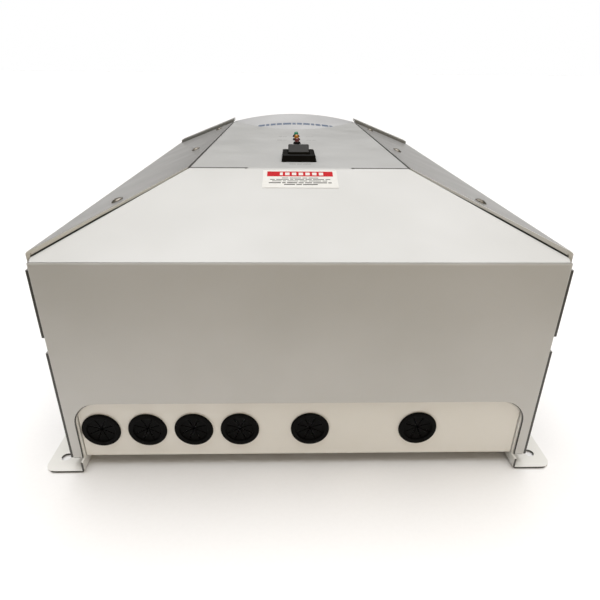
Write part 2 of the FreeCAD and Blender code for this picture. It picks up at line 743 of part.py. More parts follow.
def make_rear_end_plate():
    """Far end plate that follows the roof, with the fan opening and two rows of slots."""
    body = new_body("rear_end_plate")
    half = f"({SIDE_FACE} - side_sheet - fit_clearance)"
    roof = "(top_height - cover_sheet - fit_clearance)"
    eave = f"({FACET_TOP} - facet_drop - {FACET_DEPTH})"
    profile = polygon(body, "end_outline", "XZ_Plane", [
        (f"-{half}", "wall_gap"),
        (half, "wall_gap"),
        (half, eave),
        ("top_width / 2", roof),
        ("-top_width / 2", roof),
        (f"-{half}", eave),
    ], offset=f"-{END_FACE}")
    pad(body, profile, "chassis_sheet", reverse=True)
    opening = circles(body, "fan_opening", "XZ_Plane", [("0", FAN_Z)], f"{FAN_BORE} + 0.5")
    pocket(body, opening, "cover_length * 2", midplane=True)
    corners = circles(body, "fan_screw_holes", "XZ_Plane", FAN_CORNERS, "screw_shank + fit_clearance / 2")
    pocket(body, corners, "cover_length * 2", midplane=True)
    foot_half = f"({RAIL_WEB} - 2 * chassis_sheet - 3 * fit_clearance)"
    foot = polygon(body, "end_foot", "XZ_Plane", [
        (f"-{foot_half}", FLOOR),
        (foot_half, FLOOR),
        (foot_half, f"{FLOOR} + chassis_sheet"),
        (f"-{foot_half}", f"{FLOOR} + chassis_sheet"),
    ], offset=f"-{END_FACE} - 0.001")
    pad(body, foot, "foot_depth")
    drill_floor_holes(body, "end_foot", FLOOR_SCREWS[4:])
    for number, side in enumerate(("-1", "1")):
        vents = polygon(body, f"vent_{number}", "XZ_Plane",
                        rectangle_points(f"{side} * (fan_size / 2 + vent_width + 4)", "rail_height + 30",
                                         "vent_width", "vent_slit"))
        slot = pocket(body, vents, "cover_length * 2", midplane=True)
        pattern = body.newObject("PartDesign::LinearPattern", f"vents_{number}")
        pattern.Originals = [slot]
        pattern.Direction = (vents, ["V_Axis"])
        bind(pattern, "Length", "vent_run")
        bind(pattern, "Occurrences", "vent_count")
        body.Tip = pattern
        document.recompute()
    return body


def facet_height(distance):
    """Height of the facet's upper face at a distance from the middle of the enclosure."""
    return f"({FACET_TOP} - ({distance} - top_width / 2 - seam_gap) * {FACET_LEAN})"


def facet_turn(side):
    """Rotation that stands a piece square on a facet."""
    return Rotation(Vector(0, 1, 0), side * value_of(f"atan({FACET_LEAN})"))


def make_rear_band(name, side):
    """Raised strip across the far end of one facet, turned down over the end."""
    body = new_body(name)
    near_x = "(top_width / 2 - 1)"
    far_x = f"({SIDE_FACE} - band_inset)"
    near_z, far_z = facet_height(near_x), facet_height(far_x)
    profile = polygon(body, f"{name}_section", "XZ_Plane", [
        (f"{side} * {far_x}", f"{far_z} + fit_clearance"),
        (f"{side} * {far_x}", f"{far_z} + band_proud"),
        (f"{side} * {near_x}", f"{near_z} + band_proud"),
        (f"{side} * {near_x}", f"{near_z} + fit_clearance"),
    ], offset=f"-{REAR}")
    strip = pad(body, profile, "band_length")
    top = value_of(f"{near_z} + band_proud")
    near_y = value_of(f"{REAR} - band_length")
    fillet(body, f"{name}_edge", strip, "1",
           lambda e, m: abs(m.y - near_y) < 0.01 and m.z > top - 1.5 - abs(
               abs(m.x) - value_of(near_x)) * value_of(FACET_LEAN))
    return body


def make_crest():
    """Lens-shaped badge crest that swells out of the flat top towards the far end."""
    radius = "((top_width ^ 2 / 4 + crest_rise ^ 2) / (2 * crest_rise))"
    barrel = document.addObject("Part::Cylinder", "crest_barrel")
    bind(barrel, "Radius", radius)
    bind(barrel, "Height", "crest_length * 4")
    barrel.Placement = Placement(Vector(), Rotation(Vector(-1, 0, 0), 84))
    bind(barrel, "Placement.Rotation.Angle", "90 deg - atan(crest_rise / crest_length)")
    fall = "(crest_rise / crest_length)"
    move(barrel, ("0", f"{REAR} - crest_length * 2",
                  f"top_height + crest_rise - {radius} * sqrt(1 + {fall} ^ 2) - {fall} * crest_length * 2"))
    block = box("crest_block", ("0", f"{REAR} - crest_length / 2 - 3", "top_height"),
                ("top_width", "crest_length + 6", "crest_rise + 2"))
    crest = document.addObject("Part::MultiCommon", "badge_crest")
    crest.Shapes = [block, barrel]
    return crest


def make_screw(name, place, length="screw_length", turn=None):
    """Pan-head cross-recess screw whose head sits on place and whose shank runs down."""
    foot = ("0", "0", "0")
    head = cone(f"{name}_head", foot, "screw_head", "screw_head * 0.72", "screw_head_height")
    shank = cylinder(f"{name}_shank", ("0", "0", f"0 - ({length})"), "screw_shank", f"{length} + 0.5")
    recess = ("0", "0", "recess_floor")
    across = box(f"{name}_cross_x", recess, ("recess_width", "recess_slot", "screw_head_height"))
    along = box(f"{name}_cross_y", recess, ("recess_slot", "recess_width", "screw_head_height"))
    screw = cut(name, fuse(f"{name}_blank", [head, shank]), across, along)
    if turn is not None:
        screw.Placement = Placement(Vector(), turn)
    return move(screw, place)


def make_facet_screws():
    """Three screws on each facet."""
    screws = []
    for side in (-1, 1):
        for number, (y, distance) in enumerate(FACET_SCREWS):
            place = (f"{side} * {distance}", y, facet_height(distance))
            name = f"facet_screw_{'left' if side < 0 else 'right'}_{number}"
            screws.append(make_screw(name, place, turn=facet_turn(side)))
    return group("facet_screws", screws)


def make_rail_screws():
    """Screws that hold each mounting rail to the pan, heads inside the pan."""
    screws = []
    for side in (-1, 1):
        for number, (y, z) in enumerate(RAIL_SCREWS):
            wall = f"{side} * ({RAIL_WEB} - 2 * chassis_sheet - fit_clearance)"
            place = (wall, y, z)
            turn = Rotation(Vector(0, 1, 0), -90 * side)
            name = f"rail_screw_{'left' if side < 0 else 'right'}_{number}"
            screws.append(make_screw(name, place, length="4", turn=turn))
    return group("rail_screws", screws)


def make_floor_screws():
    """Screws that hold the feet of both end plates to the pan's floor."""
    foot_top = f"({FLOOR} + chassis_sheet)"
    return group("floor_screws", [
        make_screw(f"floor_screw_{number}", (x, y, foot_top), length="2 * chassis_sheet")
        for number, (x, y) in enumerate(FLOOR_SCREWS)
    ])


def make_grommet(name, x):
    """Rubber grommet: two flanges with a groove between, and a thin slit membrane."""
    body = new_body(name)
    back = f"({ENTRY_FACE} + chassis_sheet)"
    bore = "(grommet_hole / 2 - 2)"
    groove = "(grommet_hole / 2 - fit_clearance / 2)"
    flange = f"{GROMMET_FLANGE} / 2"
    near, far = f"({ENTRY_FACE} - grommet_groove)", f"({back} + grommet_groove)"
    outline = polygon(body, f"{name}_section", "YZ_Plane", [
        (near, "0"),
        (near, f"{flange} - grommet_edge"),
        (f"{near} + grommet_edge", flange),
        (ENTRY_FACE, flange),
        (ENTRY_FACE, groove),
        (back, groove),
        (back, flange),
        (f"{far} - grommet_edge", flange),
        (far, f"{flange} - grommet_edge"),
        (far, bore),
        (f"{near} + 1.3", bore),
        (f"{near} + 1.3", "0"),
    ])
    turned = body.newObject("PartDesign::Revolution", f"{name}_turned")
    turned.Profile = outline
    turned.ReferenceAxis = (outline, ["H_Axis"])
    turned.Angle = 360
    document.recompute()
    slit = polygon(body, f"{name}_slit", "XZ_Plane",
                   rectangle_points("0", "grommet_hole / 4 + 0.4", "grommet_slit",
                                    "grommet_hole / 2 - 4.6"))
    first = pocket(body, slit, "cover_length * 2", midplane=True)
    star = body.newObject("PartDesign::PolarPattern", f"{name}_star")
    star.Originals = [first]
    star.Axis = (slit, ["N_Axis"])
    star.Angle = 360
    bind(star, "Occurrences", "grommet_leaves")
    body.Tip = star
    document.recompute()
    return move(body, (x, "0", "grommet_height"))


# ---- switch and indicators --------------------------------------------------------

def make_rocker_bezel():
    """Snap-in switch housing with its raised bezel, open for the paddle, bored for its pivot."""
    body = new_body("rocker_bezel")
    frame = polygon(body, "bezel_outline", "XY_Plane",
                    rectangle_points("0", SWITCH_Y, BEZEL_WIDTH, BEZEL_LENGTH), offset="top_height")
    rim = pad(body, frame, "bezel_rise")
    bind(rim, "TaperAngle", "0 deg - atan(bezel_flare / bezel_rise)")
    document.recompute()
    top = value_of("top_height + bezel_rise")
    fillet(body, "bezel_rim", rim, "1.5", lambda e, m: abs(m.z - top) < 0.01)
    lower = polygon(body, "housing_outline", "XY_Plane",
                    rectangle_points("0", SWITCH_Y, HOUSING_WIDTH, HOUSING_LENGTH),
                    offset="top_height")
    pad(body, lower, "housing_depth", reverse=True)
    cavity = polygon(body, "paddle_opening", "XY_Plane",
                     rectangle_points("0", SWITCH_Y, "paddle_width + 2 * paddle_gap",
                                      OPENING_LENGTH), offset="top_height + bezel_rise")
    pocket(body, cavity, "bezel_rise + housing_depth - 3")
    bore = circles(body, "pivot_bore", "YZ_Plane", [(SWITCH_Y, PIVOT_Z)],
                   "pivot_radius + pivot_clearance")
    pocket(body, bore, "paddle_width + 2 * pivot_wall - 2", midplane=True)
    return body


def make_rocker_paddle():
    """V-topped paddle on two stub pivots, its far half up."""
    body = new_body("rocker_paddle")
    half = "(paddle_length / 2)"
    profile = polygon(body, "paddle_profile", "YZ_Plane", [
        (f"-{half}", "1"),
        (f"-{half}", "paddle_end_height"),
        ("0", "4.4"),
        (half, "paddle_end_height"),
        (half, "1"),
        ("8", "-6"),
        ("-8", "-6"),
    ])
    blade = pad(body, profile, "paddle_width", midplane=True)
    side = value_of("paddle_width / 2")
    fillet(body, "paddle_edges", blade, "0.8",
           lambda e, m: abs(abs(m.x) - side) < 0.01 and m.z > 1.5)
    pin = circles(body, "pivot_outline", "YZ_Plane", [("0", "0")], "pivot_radius")
    pad(body, pin, "paddle_width + 4", midplane=True)
    body.Placement = Placement(Vector(), Rotation(Vector(1, 0, 0), 10))
    bind(body, "Placement.Rotation.Angle", "paddle_tilt")
    return move(body, ("0", SWITCH_Y, PIVOT_Z))


def make_switch_terminals():
    """Four blade terminals under the switch housing."""
    blades = []
    for column in (-1, 1):
        for line in (-1, 1):
            place = (f"{column} * 7", f"{SWITCH_Y} + {line} * 9", "top_height - housing_depth - blade_length")
            blades.append(box(f"blade_{column + 1}_{line + 1}", place,
                              ("blade_width", "blade_sheet", "blade_length")))
    return group("switch_terminals", blades)


def make_lamp(name, y):
    """Domed indicator lamp with two legs down to its board."""
    base = "(top_height - lamp_board_drop / 2)"
    crown = "(top_height + lamp_rise - lamp_radius)"
    barrel = cylinder(f"{name}_barrel", ("0", y, base), "lamp_radius", f"{crown} - {base}")
    dome = document.addObject("Part::Sphere", f"{name}_dome")
    bind(dome, "Radius", "lamp_radius")
    move(dome, ("0", y, crown))
    legs = [
        box(f"{name}_leg_{side + 1}", (f"{side} * lead_spacing / 2", y, "top_height - lamp_board_drop"),
            ("lead_width", "lead_width", "lamp_board_drop / 2 + 1"))
        for side in (-1, 1)
    ]
    return fuse(name, [barrel, dome, *legs])


def make_lamp_holders():
    """Black collars that hold the lamps in the cover."""
    holders = []
    for number, y in enumerate(LAMP_PLACES):
        rim = cone(f"lamp_rim_{number}", ("0", y, "top_height"), "lamp_bezel_radius",
                   "lamp_bezel_radius - 1", "lamp_bezel_rise")
        sleeve = cylinder(f"lamp_sleeve_{number}", ("0", y, "top_height - 5"),
                          "lamp_radius + lamp_wall", "6")
        bore = cylinder(f"lamp_bore_{number}", ("0", y, "top_height - 6"),
                        "lamp_radius + pivot_clearance", "12")
        holders.append(cut(f"lamp_holder_{number}", fuse(f"lamp_collar_{number}", [rim, sleeve]), bore))
    return group("lamp_holders", holders)


def make_label(name, y, width, length):
    """Blank printed label on the sloped panel, a short way below the bend."""
    item = document.addObject("Part::Box", name)
    bind(item, "Length", width)
    bind(item, "Width", length)
    bind(item, "Height", "label_sheet")
    item.Placement = Placement(Vector(), Rotation(Vector(1, 0, 0), 10))
    bind(item, "Placement.Rotation.Angle", "atan(slope_rise / slope_run)")
    lift = f"(top_height - (({BEND}) - ({y})) * slope_rise / slope_run)"
    return move(item, (f"-({width}) / 2", y, lift))


# ---- inside -----------------------------------------------------------------------

def make_heat_sink():
    """Extruded heat sink: base plate over a row of fins that stand on the pan."""
    body = new_body("heat_sink")
    base = polygon(body, "sink_base_outline", "XY_Plane",
                   rectangle_points("0", SINK_Y, "sink_width", "sink_length"),
                   offset=f"{FLOOR} + fin_height")
    pad(body, base, "sink_base")
    fin = polygon(body, "fin_outline", "XY_Plane",
                  rectangle_points("fin_sheet / 2 - sink_width / 2", SINK_Y, "fin_sheet", "sink_length"),
                  offset=f"{FLOOR} + fin_height")
    first = pad(body, fin, "fin_height", reverse=True)
    fins = body.newObject("PartDesign::LinearPattern", "fins")
    fins.Originals = [first]
    fins.Direction = (fin, ["H_Axis"])
    bind(fins, "Length", "sink_width - fin_sheet")
    bind(fins, "Occurrences", "fin_count")
    body.Tip = fins
    document.recompute()
    return body


def make_power_board():
    """Main board on standoffs over the heat sink, with its mounting holes."""
    board = box("power_board_blank", ("0", SINK_Y, BOARD_BOTTOM),
                (BOARD_WIDTH, BOARD_LENGTH, "board_sheet"))
    holes = [
        cylinder(f"board_hole_{number}", (x, y, f"{BOARD_BOTTOM} - 1"),
                 "screw_shank + fit_clearance / 2", "board_sheet + 2")
        for number, (x, y) in enumerate(BOARD_CORNERS)
    ]
    return cut("power_board", board, *holes)


def make_standoffs():
    """Hexagon standoffs under the main board."""
    posts = []
    for number, (x, y) in enumerate(BOARD_CORNERS):
        prism = document.addObject("Part::Prism", f"standoff_{number}")
        prism.Polygon = 6
        bind(prism, "Circumradius", "hex_radius")
        bind(prism, "Height", "board_rise")
        posts.append(move(prism, (x, y, SINK_TOP)))
    return group("board_standoffs", posts)


def make_board_screws():
    """Screws through the main board, one to a standoff."""
    return group("board_screws", [
        make_screw(f"board_screw_{number}", (x, y, BOARD_TOP), length="board_sheet")
        for number, (x, y) in enumerate(BOARD_CORNERS)
    ])


def make_capacitors():
    """Row pairs of can capacitors on the main board."""
    cans = []
    for column in (-1, 0, 1):
        for line in (0, 1):
            place = (f"{column} * can_pitch", f"{SINK_Y} + 20 + {line} * can_pitch", BOARD_TOP)
            cans.append(cylinder(f"can_{column + 1}_{line}", place, "can_radius", "can_height"))
    return group("dc_link_capacitors", cans)


def make_transistors():
    """Power transistors clamped on the heat sink in two rows, beside the board."""
    packages = []
    for side in (-1, 1):
        for number in range(4):
            y = f"{SINK_Y} + {number - 1.5} * package_pitch"
            packages.append(box(f"transistor_{side + 1}_{number}", (f"{side} * {CLAMP_X}", y, SINK_TOP),
                                ("package_width", "package_length", "package_height")))
    return group("power_transistors", packages)


def make_clamps():
    """Spring bars that press the transistors onto the heat sink."""
    bars = []
    for side in (-1, 1):
        place = (f"{side} * {CLAMP_X}", SINK_Y, f"{SINK_TOP} + package_height")
        bars.append(box(f"clamp_bar_{side + 1}", place, ("clamp_width", "clamp_length", "clamp_sheet")))
    return group("transistor_clamps", bars)


def make_toroid(name, x):
    """Wound ring choke lying flat on the pan."""
    ring = document.addObject("Part::Torus", name)
    bind(ring, "Radius1", "ring_radius")
    bind(ring, "Radius2", "ring_section")
    return move(ring, (x, CHOKE_Y, f"{FLOOR} + ring_section + fit_clearance"))


def make_output_choke():
    """Laminated choke: E-core block with its winding bobbin."""
    middle = ("0", CHOKE_Y, f"{FLOOR} + (choke_height - coil_height) / 2")
    core = box("choke_core", ("0", CHOKE_Y, FLOOR), ("choke_width", "choke_depth", "choke_height"))
    window = box("choke_window", middle, ("coil_width", "choke_depth + 1", "coil_height"))
    coil = box("choke_coil", middle, ("coil_width", "coil_depth", "coil_height"))
    return group("output_choke", [cut("choke_laminations", core, window), coil])


def pole_places(x, poles):
    """Places along X of a terminal block's poles."""
    return [f"({x} + {number - (poles - 1) / 2} * terminal_pitch)" for number in range(poles)]


def make_terminal_block(name, x, poles):
    """Screw terminal block with an entry funnel and a screw well for each pole."""
    body = box(f"{name}_body", (x, TERMINAL_Y, f"{FLOOR} + terminal_foot"),
               (f"{poles} * terminal_pitch + 4", "terminal_depth", "terminal_height"))
    tools = []
    for number, pole_x in enumerate(pole_places(x, poles)):
        mouth = (pole_x, f"{TERMINAL_Y} - terminal_depth / 2 + 2", f"{FLOOR} + terminal_foot + 5")
        tools.append(box(f"{name}_mouth_{number}", mouth, ("terminal_pitch - 5", "12", "11")))
        tools.append(cylinder(f"{name}_well_{number}", (pole_x, TERMINAL_Y, WELL_FLOOR),
                              "clamp_well_radius", "9"))
    return cut(name, body, *tools)


def make_terminal_screws():
    """Clamp screws in the wells of both terminal blocks."""
    screws = []
    for name, x, poles in TERMINAL_BLOCKS:
        for number, pole_x in enumerate(pole_places(x, poles)):
            blank = cylinder(f"{name}_screw_{number}", (pole_x, TERMINAL_Y, WELL_FLOOR),
                             "clamp_screw_radius", "4")
            slot = box(f"{name}_slot_{number}", (pole_x, TERMINAL_Y, f"{WELL_FLOOR} + 3"), ("9", "1", "2"))
            screws.append(cut(f"{name}_clamp_{number}", blank, slot))
    return group("terminal_screws", screws)


def make_terminal_feet():
    """Rail under each terminal block."""
    return group("terminal_rails", [
        box(f"{name}_foot", (x, TERMINAL_Y, FLOOR),
            (f"{poles} * terminal_pitch + 20", "20", "terminal_foot"))
        for name, x, poles in TERMINAL_BLOCKS
    ])


def make_ground_bar():
    """Brass earth bar on two feet, with its wire holes."""
    y = f"({FRONT} + 60)"
    bar = box("ground_strip", (GROUND_X, y, f"{FLOOR} + ground_rise"),
              ("ground_length", "ground_section", "ground_section"))
    hole_z = f"{FLOOR} + ground_rise + ground_section / 2"
    holes = [
        cylinder(f"ground_hole_{number}", (f"{GROUND_X} + {number - 2.5} * ground_pitch", f"{y} - 6", hole_z),
                 "wire_hole_radius", "12", axis="y")
        for number in range(6)
    ]
    feet = [
        box(f"ground_foot_{side + 1}", (f"{GROUND_X} + {side} * (ground_length / 2 - 4)", y, FLOOR),
            ("8", "ground_section", "ground_rise"))
        for side in (-1, 1)
    ]
    return cut("ground_bar", fuse("ground_blank", [bar, *feet]), *holes)


def make_blocks(name, places, lengths):
    """Equal rectangular components that stand on the main board."""
    return group(name, [
        box(f"{name}_{number}", (x, f"{SINK_Y} + {y}", BOARD_TOP), lengths)
        for number, (x, y) in enumerate(places)
    ])


def make_fuses():
    """Cartridge fuses lying in their holders."""
    return group("fuses", [
        cylinder(f"fuse_{number}", (f"{x} - fuse_length / 2", FUSE_Y, f"{BOARD_TOP} + holder_height + 0.2"),
                 "fuse_radius", "fuse_length", axis="x")
        for number, x in enumerate(FUSE_X)
    ])


def make_fuse_holders():
    """Open-topped holders for the cartridge fuses."""
    holders = []
    for number, x in enumerate(FUSE_X):
        block = box(f"fuse_block_{number}", (x, FUSE_Y, BOARD_TOP),
                    ("fuse_length + 6", "holder_height", "holder_height"))
        trough = box(f"fuse_trough_{number}", (x, FUSE_Y, f"{BOARD_TOP} + holder_height - fuse_radius"),
                     ("fuse_length + 0.4", "2 * fuse_radius + 0.4", "fuse_radius + 1"))
        holders.append(cut(f"fuse_holder_{number}", block, trough))
    return group("fuse_holders", holders)


def make_control_board():
    """Upright control board that stands on the main board."""
    return box("control_board", ("0", f"{SINK_Y} - 60", BOARD_TOP),
               ("control_width", "board_sheet", "control_height"))


def make_indicator_board():
    """Small board that the lamps are soldered to, hung from the cover."""
    underside = "(top_height - lamp_board_drop - board_sheet)"
    board = box("indicator_blank", ("0", LAMP_Y, underside), ("36", "2 * lamp_pitch + 24", "board_sheet"))
    holes = []
    for number, y in enumerate(LAMP_PLACES):
        for side in (-1, 1):
            place = (f"{side} * lead_spacing / 2", y, f"{underside} - 0.4")
            holes.append(cylinder(f"lead_hole_{number}_{side + 1}", place, "lead_width", "3"))
    return cut("indicator_board", board, *holes)


def make_indicator_posts():
    """Posts between the cover and the indicator board."""
    posts = []
    for side in (-1, 1):
        for end in (-1, 1):
            place = (f"{side} * 14", f"{LAMP_Y} + {end} * (lamp_pitch + 8)", "top_height - lamp_board_drop")
            posts.append(cylinder(f"indicator_post_{side + 1}_{end + 1}", place, "post_radius",
                                  "lamp_board_drop - cover_sheet"))
    return group("indicator_posts", posts)


# ---- fan --------------------------------------------------------------------------

def make_fan_frame():
    """Square fan frame with its bore, four screw holes, spokes and motor mount."""
    y = f"({END_FACE} - fan_depth)"
    shell = box("fan_shell", ("0", f"{END_FACE} - fan_depth / 2", f"{FAN_Z} - fan_size / 2"),
                ("fan_size", "fan_depth", "fan_size"))
    bore = cylinder("fan_throat", ("0", f"{y} - 1", FAN_Z), FAN_BORE, "fan_depth + 2", axis="y")
    holes = [
        cylinder(f"fan_hole_{number}", (x, f"{y} - 1", z), "screw_shank + 0.1", "fan_depth + 2", axis="y")
        for number, (x, z) in enumerate(FAN_CORNERS)
    ]
    hollow = cut("fan_ring", shell, bore, *holes)
    mount = cylinder("motor_mount", ("0", y, FAN_Z), "fan_hub", "fan_spoke", axis="y")
    span = f"({FAN_BORE} * 2 + 2)"
    across = box("spoke_across", ("0", f"{y} + fan_spoke / 2", f"{FAN_Z} - fan_spoke / 2"),
                 (span, "fan_spoke", "fan_spoke"))
    upright = box("spoke_upright", ("0", f"{y} + fan_spoke / 2", f"{FAN_Z} - {span} / 2"),
                  ("fan_spoke", "fan_spoke", span))
    shaft = cylinder("fan_shaft", ("0", y, FAN_Z), "pivot_radius", "shaft_length", axis="y")
    return fuse("fan_frame", [hollow, mount, across, upright, shaft])


def make_fan_rotor():
    """Hub with twisted blades, bored to run on the frame's shaft."""
    start = f"({END_FACE} - fan_depth + 4)"
    depth = "(fan_depth - 6)"
    root, chord = "(fan_hub - 4)", "(fan_depth - 9)"
    hub = cylinder("rotor_hub", ("0", start, FAN_Z), "fan_hub", depth, axis="y")
    pitch = Placement(Vector(), Rotation(Vector(1, 0, 0), 32))
    reach = Placement(
        Vector(value_of(root), -value_of(chord) / 2, -value_of("fan_blade_sheet") / 2), Rotation())
    blades = []
    count = int(value_of("blade_count"))
    for number in range(count):
        blade = document.addObject("Part::Box", f"fan_blade_{number}")
        bind(blade, "Length", f"{FAN_BORE} - fan_tip_gap - {root}")
        bind(blade, "Width", chord)
        bind(blade, "Height", "fan_blade_sheet")
        turn = Placement(Vector(), Rotation(Vector(0, 1, 0), number * 360 / count))
        blade.Placement = turn.multiply(pitch).multiply(reach)
        corner = blade.Placement.Base
        move(blade, (f"{corner.x}", f"{start} + {depth} / 2 + {corner.y}", f"{FAN_Z} + {corner.z}"))
        blades.append(blade)
    wheel = fuse("rotor_wheel", [hub, *blades])
    bore = cylinder("rotor_bore", ("0", f"{start} - 1", FAN_Z), "pivot_radius + pivot_clearance",
                    "shaft_length - 2", axis="y")
    envelope = cylinder("rotor_envelope", ("0", start, FAN_Z), f"{FAN_BORE} - fan_tip_gap", depth,
                        axis="y")
    trimmed = document.addObject("Part::MultiCommon", "rotor_trimmed")
    trimmed.Shapes = [wheel, envelope]
    return cut("fan_rotor", trimmed, bore)


def make_fan_guard():
    """Wire guard outside the far end plate: rings joined by two cross wires."""
    face = f"({END_FACE} + chassis_sheet)"
    rings = []
    for number in range(4):
        ring = document.addObject("Part::Torus", f"guard_ring_{number}")
        bind(ring, "Radius1", f"{FAN_BORE} - {number} * guard_pitch")
        bind(ring, "Radius2", "guard_wire")
        ring.Placement = Placement(Vector(), Rotation(Vector(1, 0, 0), 90))
        rings.append(move(ring, ("0", f"{face} + 2.5", FAN_Z)))
    for number, (x, z) in enumerate(FAN_CORNERS):
        loop = document.addObject("Part::Torus", f"guard_loop_{number}")
        bind(loop, "Radius1", "guard_loop")
        bind(loop, "Radius2", "guard_wire")
        loop.Placement = Placement(Vector(), Rotation(Vector(1, 0, 0), 90))
        rings.append(move(loop, (x, f"{face} + 1.5", z)))
    arm = "((fan_size / 2 - 5) * sqrt(2) - guard_loop + 0.5)"
    for number, rise in enumerate((1, -1)):
        wire = document.addObject("Part::Cylinder", f"guard_wire_{number}")
        bind(wire, "Radius", "guard_wire")
        bind(wire, "Height", f"2 * {arm}")
        wire.Placement = Placement(Vector(), Rotation(Vector(0, 0, 1), Vector(1, 0, rise)))
        rings.append(move(wire, (f"-{arm} * sqrt(0.5)", f"{face} + 1.5",
                                 f"{FAN_Z} - {rise} * {arm} * sqrt(0.5)")))
    return fuse("fan_guard", rings)


def make_fan_screws():
    """Four screws through the guard, the end plate and the fan."""
    turn = Rotation(Vector(1, 0, 0), -90)
    seat = f"({END_FACE} + chassis_sheet + 2.6)"
    return group("fan_screws", [
        make_screw(f"fan_screw_{number}", (x, seat, z), turn=turn, length="fan_screw_length")
        for number, (x, z) in enumerate(FAN_CORNERS)
    ])


nodes = [
    make_mounting_rail("mounting_rail_left", "-1"),
    make_mounting_rail("mounting_rail_right", "1"),
    make_chassis_pan(),
    make_cable_entry_plate(),
    make_rear_end_plate(),
    make_front_cover(),
    make_side_cover("side_cover_left", "-1"),
    make_side_cover("side_cover_right", "1"),
    make_seam_rail("seam_rail_left", "-1"),
    make_seam_rail("seam_rail_right", "1"),
    make_rear_band("rear_band_left", "-1"),
    make_rear_band("rear_band_right", "1"),
    make_crest(),
    make_facet_screws(),
    make_rail_screws(),
    make_floor_screws(),
    *[make_grommet(f"cable_grommet_{number}", x) for number, x in enumerate(GROMMET_PLACES, start=1)],
    make_rocker_bezel(),
    make_rocker_paddle(),
    make_switch_terminals(),
    *[make_lamp(name, y) for name, y in zip(("lamp_red", "lamp_amber", "lamp_green"), LAMP_PLACES)],
    make_lamp_holders(),
    make_indicator_board(),
    make_indicator_posts(),
    make_label("slope_label", f"({BEND} - 36)", "label_width", "label_length"),
    make_heat_sink(),
    make_power_board(),
    make_standoffs(),
    make_board_screws(),
    make_capacitors(),
    make_transistors(),
    make_clamps(),
    make_toroid("boost_choke_left", "-120"),
    make_toroid("boost_choke_right", "120"),
    make_output_choke(),
    *[make_terminal_block(name, x, poles) for name, x, poles in TERMINAL_BLOCKS],
    make_terminal_screws(),
    make_terminal_feet(),
    make_ground_bar(),
    make_blocks("relays", [("-55", "-22"), ("0", "-22"), ("55", "-22")], ("28", "30", "26")),
    make_blocks("filter_capacitors", [("-82", "40"), ("82", "40"), ("-82", "-20"), ("82", "-20")],
                ("12", "32", "24")),
    make_fuse_holders(),
    make_fuses(),
    make_control_board(),
    make_fan_frame(),
    make_fan_rotor(),
    make_fan_guard(),
    make_fan_screws(),
]

for node in nodes:
    node.Label = node.Name
document.recompute()

for item in document.Objects:
    if "Invalid" in item.State or "Error" in item.State:
        raise RuntimeError(f"{item.Name} failed: {item.State}")
for node in nodes:
    if node.Shape.isNull() or not node.Shape.isValid():
        raise RuntimeError(f"{node.Label} has no valid shape")

os.makedirs("parts", exist_ok=True)
for node in nodes:
    node.Shape.exportStep(f"parts/{node.Label}.step")
    print(f"{node.Label}: {len(node.Shape.Solids)} solids, {node.Shape.Volume / 1000:.1f} cm3")
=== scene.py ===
"""Looks of the wall-mounted string inverter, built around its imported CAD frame."""
from __future__ import annotations

import logging
import math
from collections.abc import Iterable, Sequence
from dataclasses import dataclass, field
from enum import Enum
from typing import Any

import bmesh
import bpy
from mathutils import Matrix, Vector
from mathutils.bvhtree import BVHTree


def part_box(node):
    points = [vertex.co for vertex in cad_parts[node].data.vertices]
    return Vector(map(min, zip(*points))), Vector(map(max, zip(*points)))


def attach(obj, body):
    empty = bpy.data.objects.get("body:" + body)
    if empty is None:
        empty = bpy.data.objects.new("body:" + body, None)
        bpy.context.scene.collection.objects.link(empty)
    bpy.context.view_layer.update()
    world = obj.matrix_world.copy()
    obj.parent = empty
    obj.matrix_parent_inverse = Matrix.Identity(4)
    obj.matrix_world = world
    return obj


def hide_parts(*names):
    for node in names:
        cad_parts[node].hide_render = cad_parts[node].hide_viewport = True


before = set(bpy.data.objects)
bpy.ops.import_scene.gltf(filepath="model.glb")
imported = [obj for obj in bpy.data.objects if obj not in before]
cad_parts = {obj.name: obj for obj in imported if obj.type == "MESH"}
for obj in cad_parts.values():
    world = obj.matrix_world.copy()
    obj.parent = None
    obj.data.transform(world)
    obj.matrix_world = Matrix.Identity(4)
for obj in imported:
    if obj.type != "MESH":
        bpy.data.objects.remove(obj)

log = logging.getLogger("inverter")
MM = 0.001
SEED = 11
WELD = 2e-6                 # corners nearer than this, in metres, are one
WAVE_PER_METRE = 0.314      # a wave texture's scale that gives one band to each unit of length
ON_AXIS = 1e-9              # a smaller radius, in metres, lies on the axis
Colour = tuple[float, float, float, float]


class Body(Enum):
    """The rigid bodies of the CAD frame."""

    ENCLOSURE = "enclosure"
    ROCKER = "rocker"
    FAN_WHEEL = "fan_wheel"


# ---- node and colour tools ----------------------------------------------------------


def linear(hex_colour: str) -> Colour:
    """Turn an sRGB hex colour into linear values.

    Args:
        hex_colour: Six hex digits, with or without a leading sign.

    Returns:
        Red, green, blue and an alpha of one.
    """
    digits = hex_colour.lstrip("#")
    channels = [int(digits[i:i + 2], 16) / 255 for i in (0, 2, 4)]
    lit = [c / 12.92 if c <= 0.04045 else ((c + 0.055) / 1.055) ** 2.4 for c in channels]
    return (lit[0], lit[1], lit[2], 1.0)


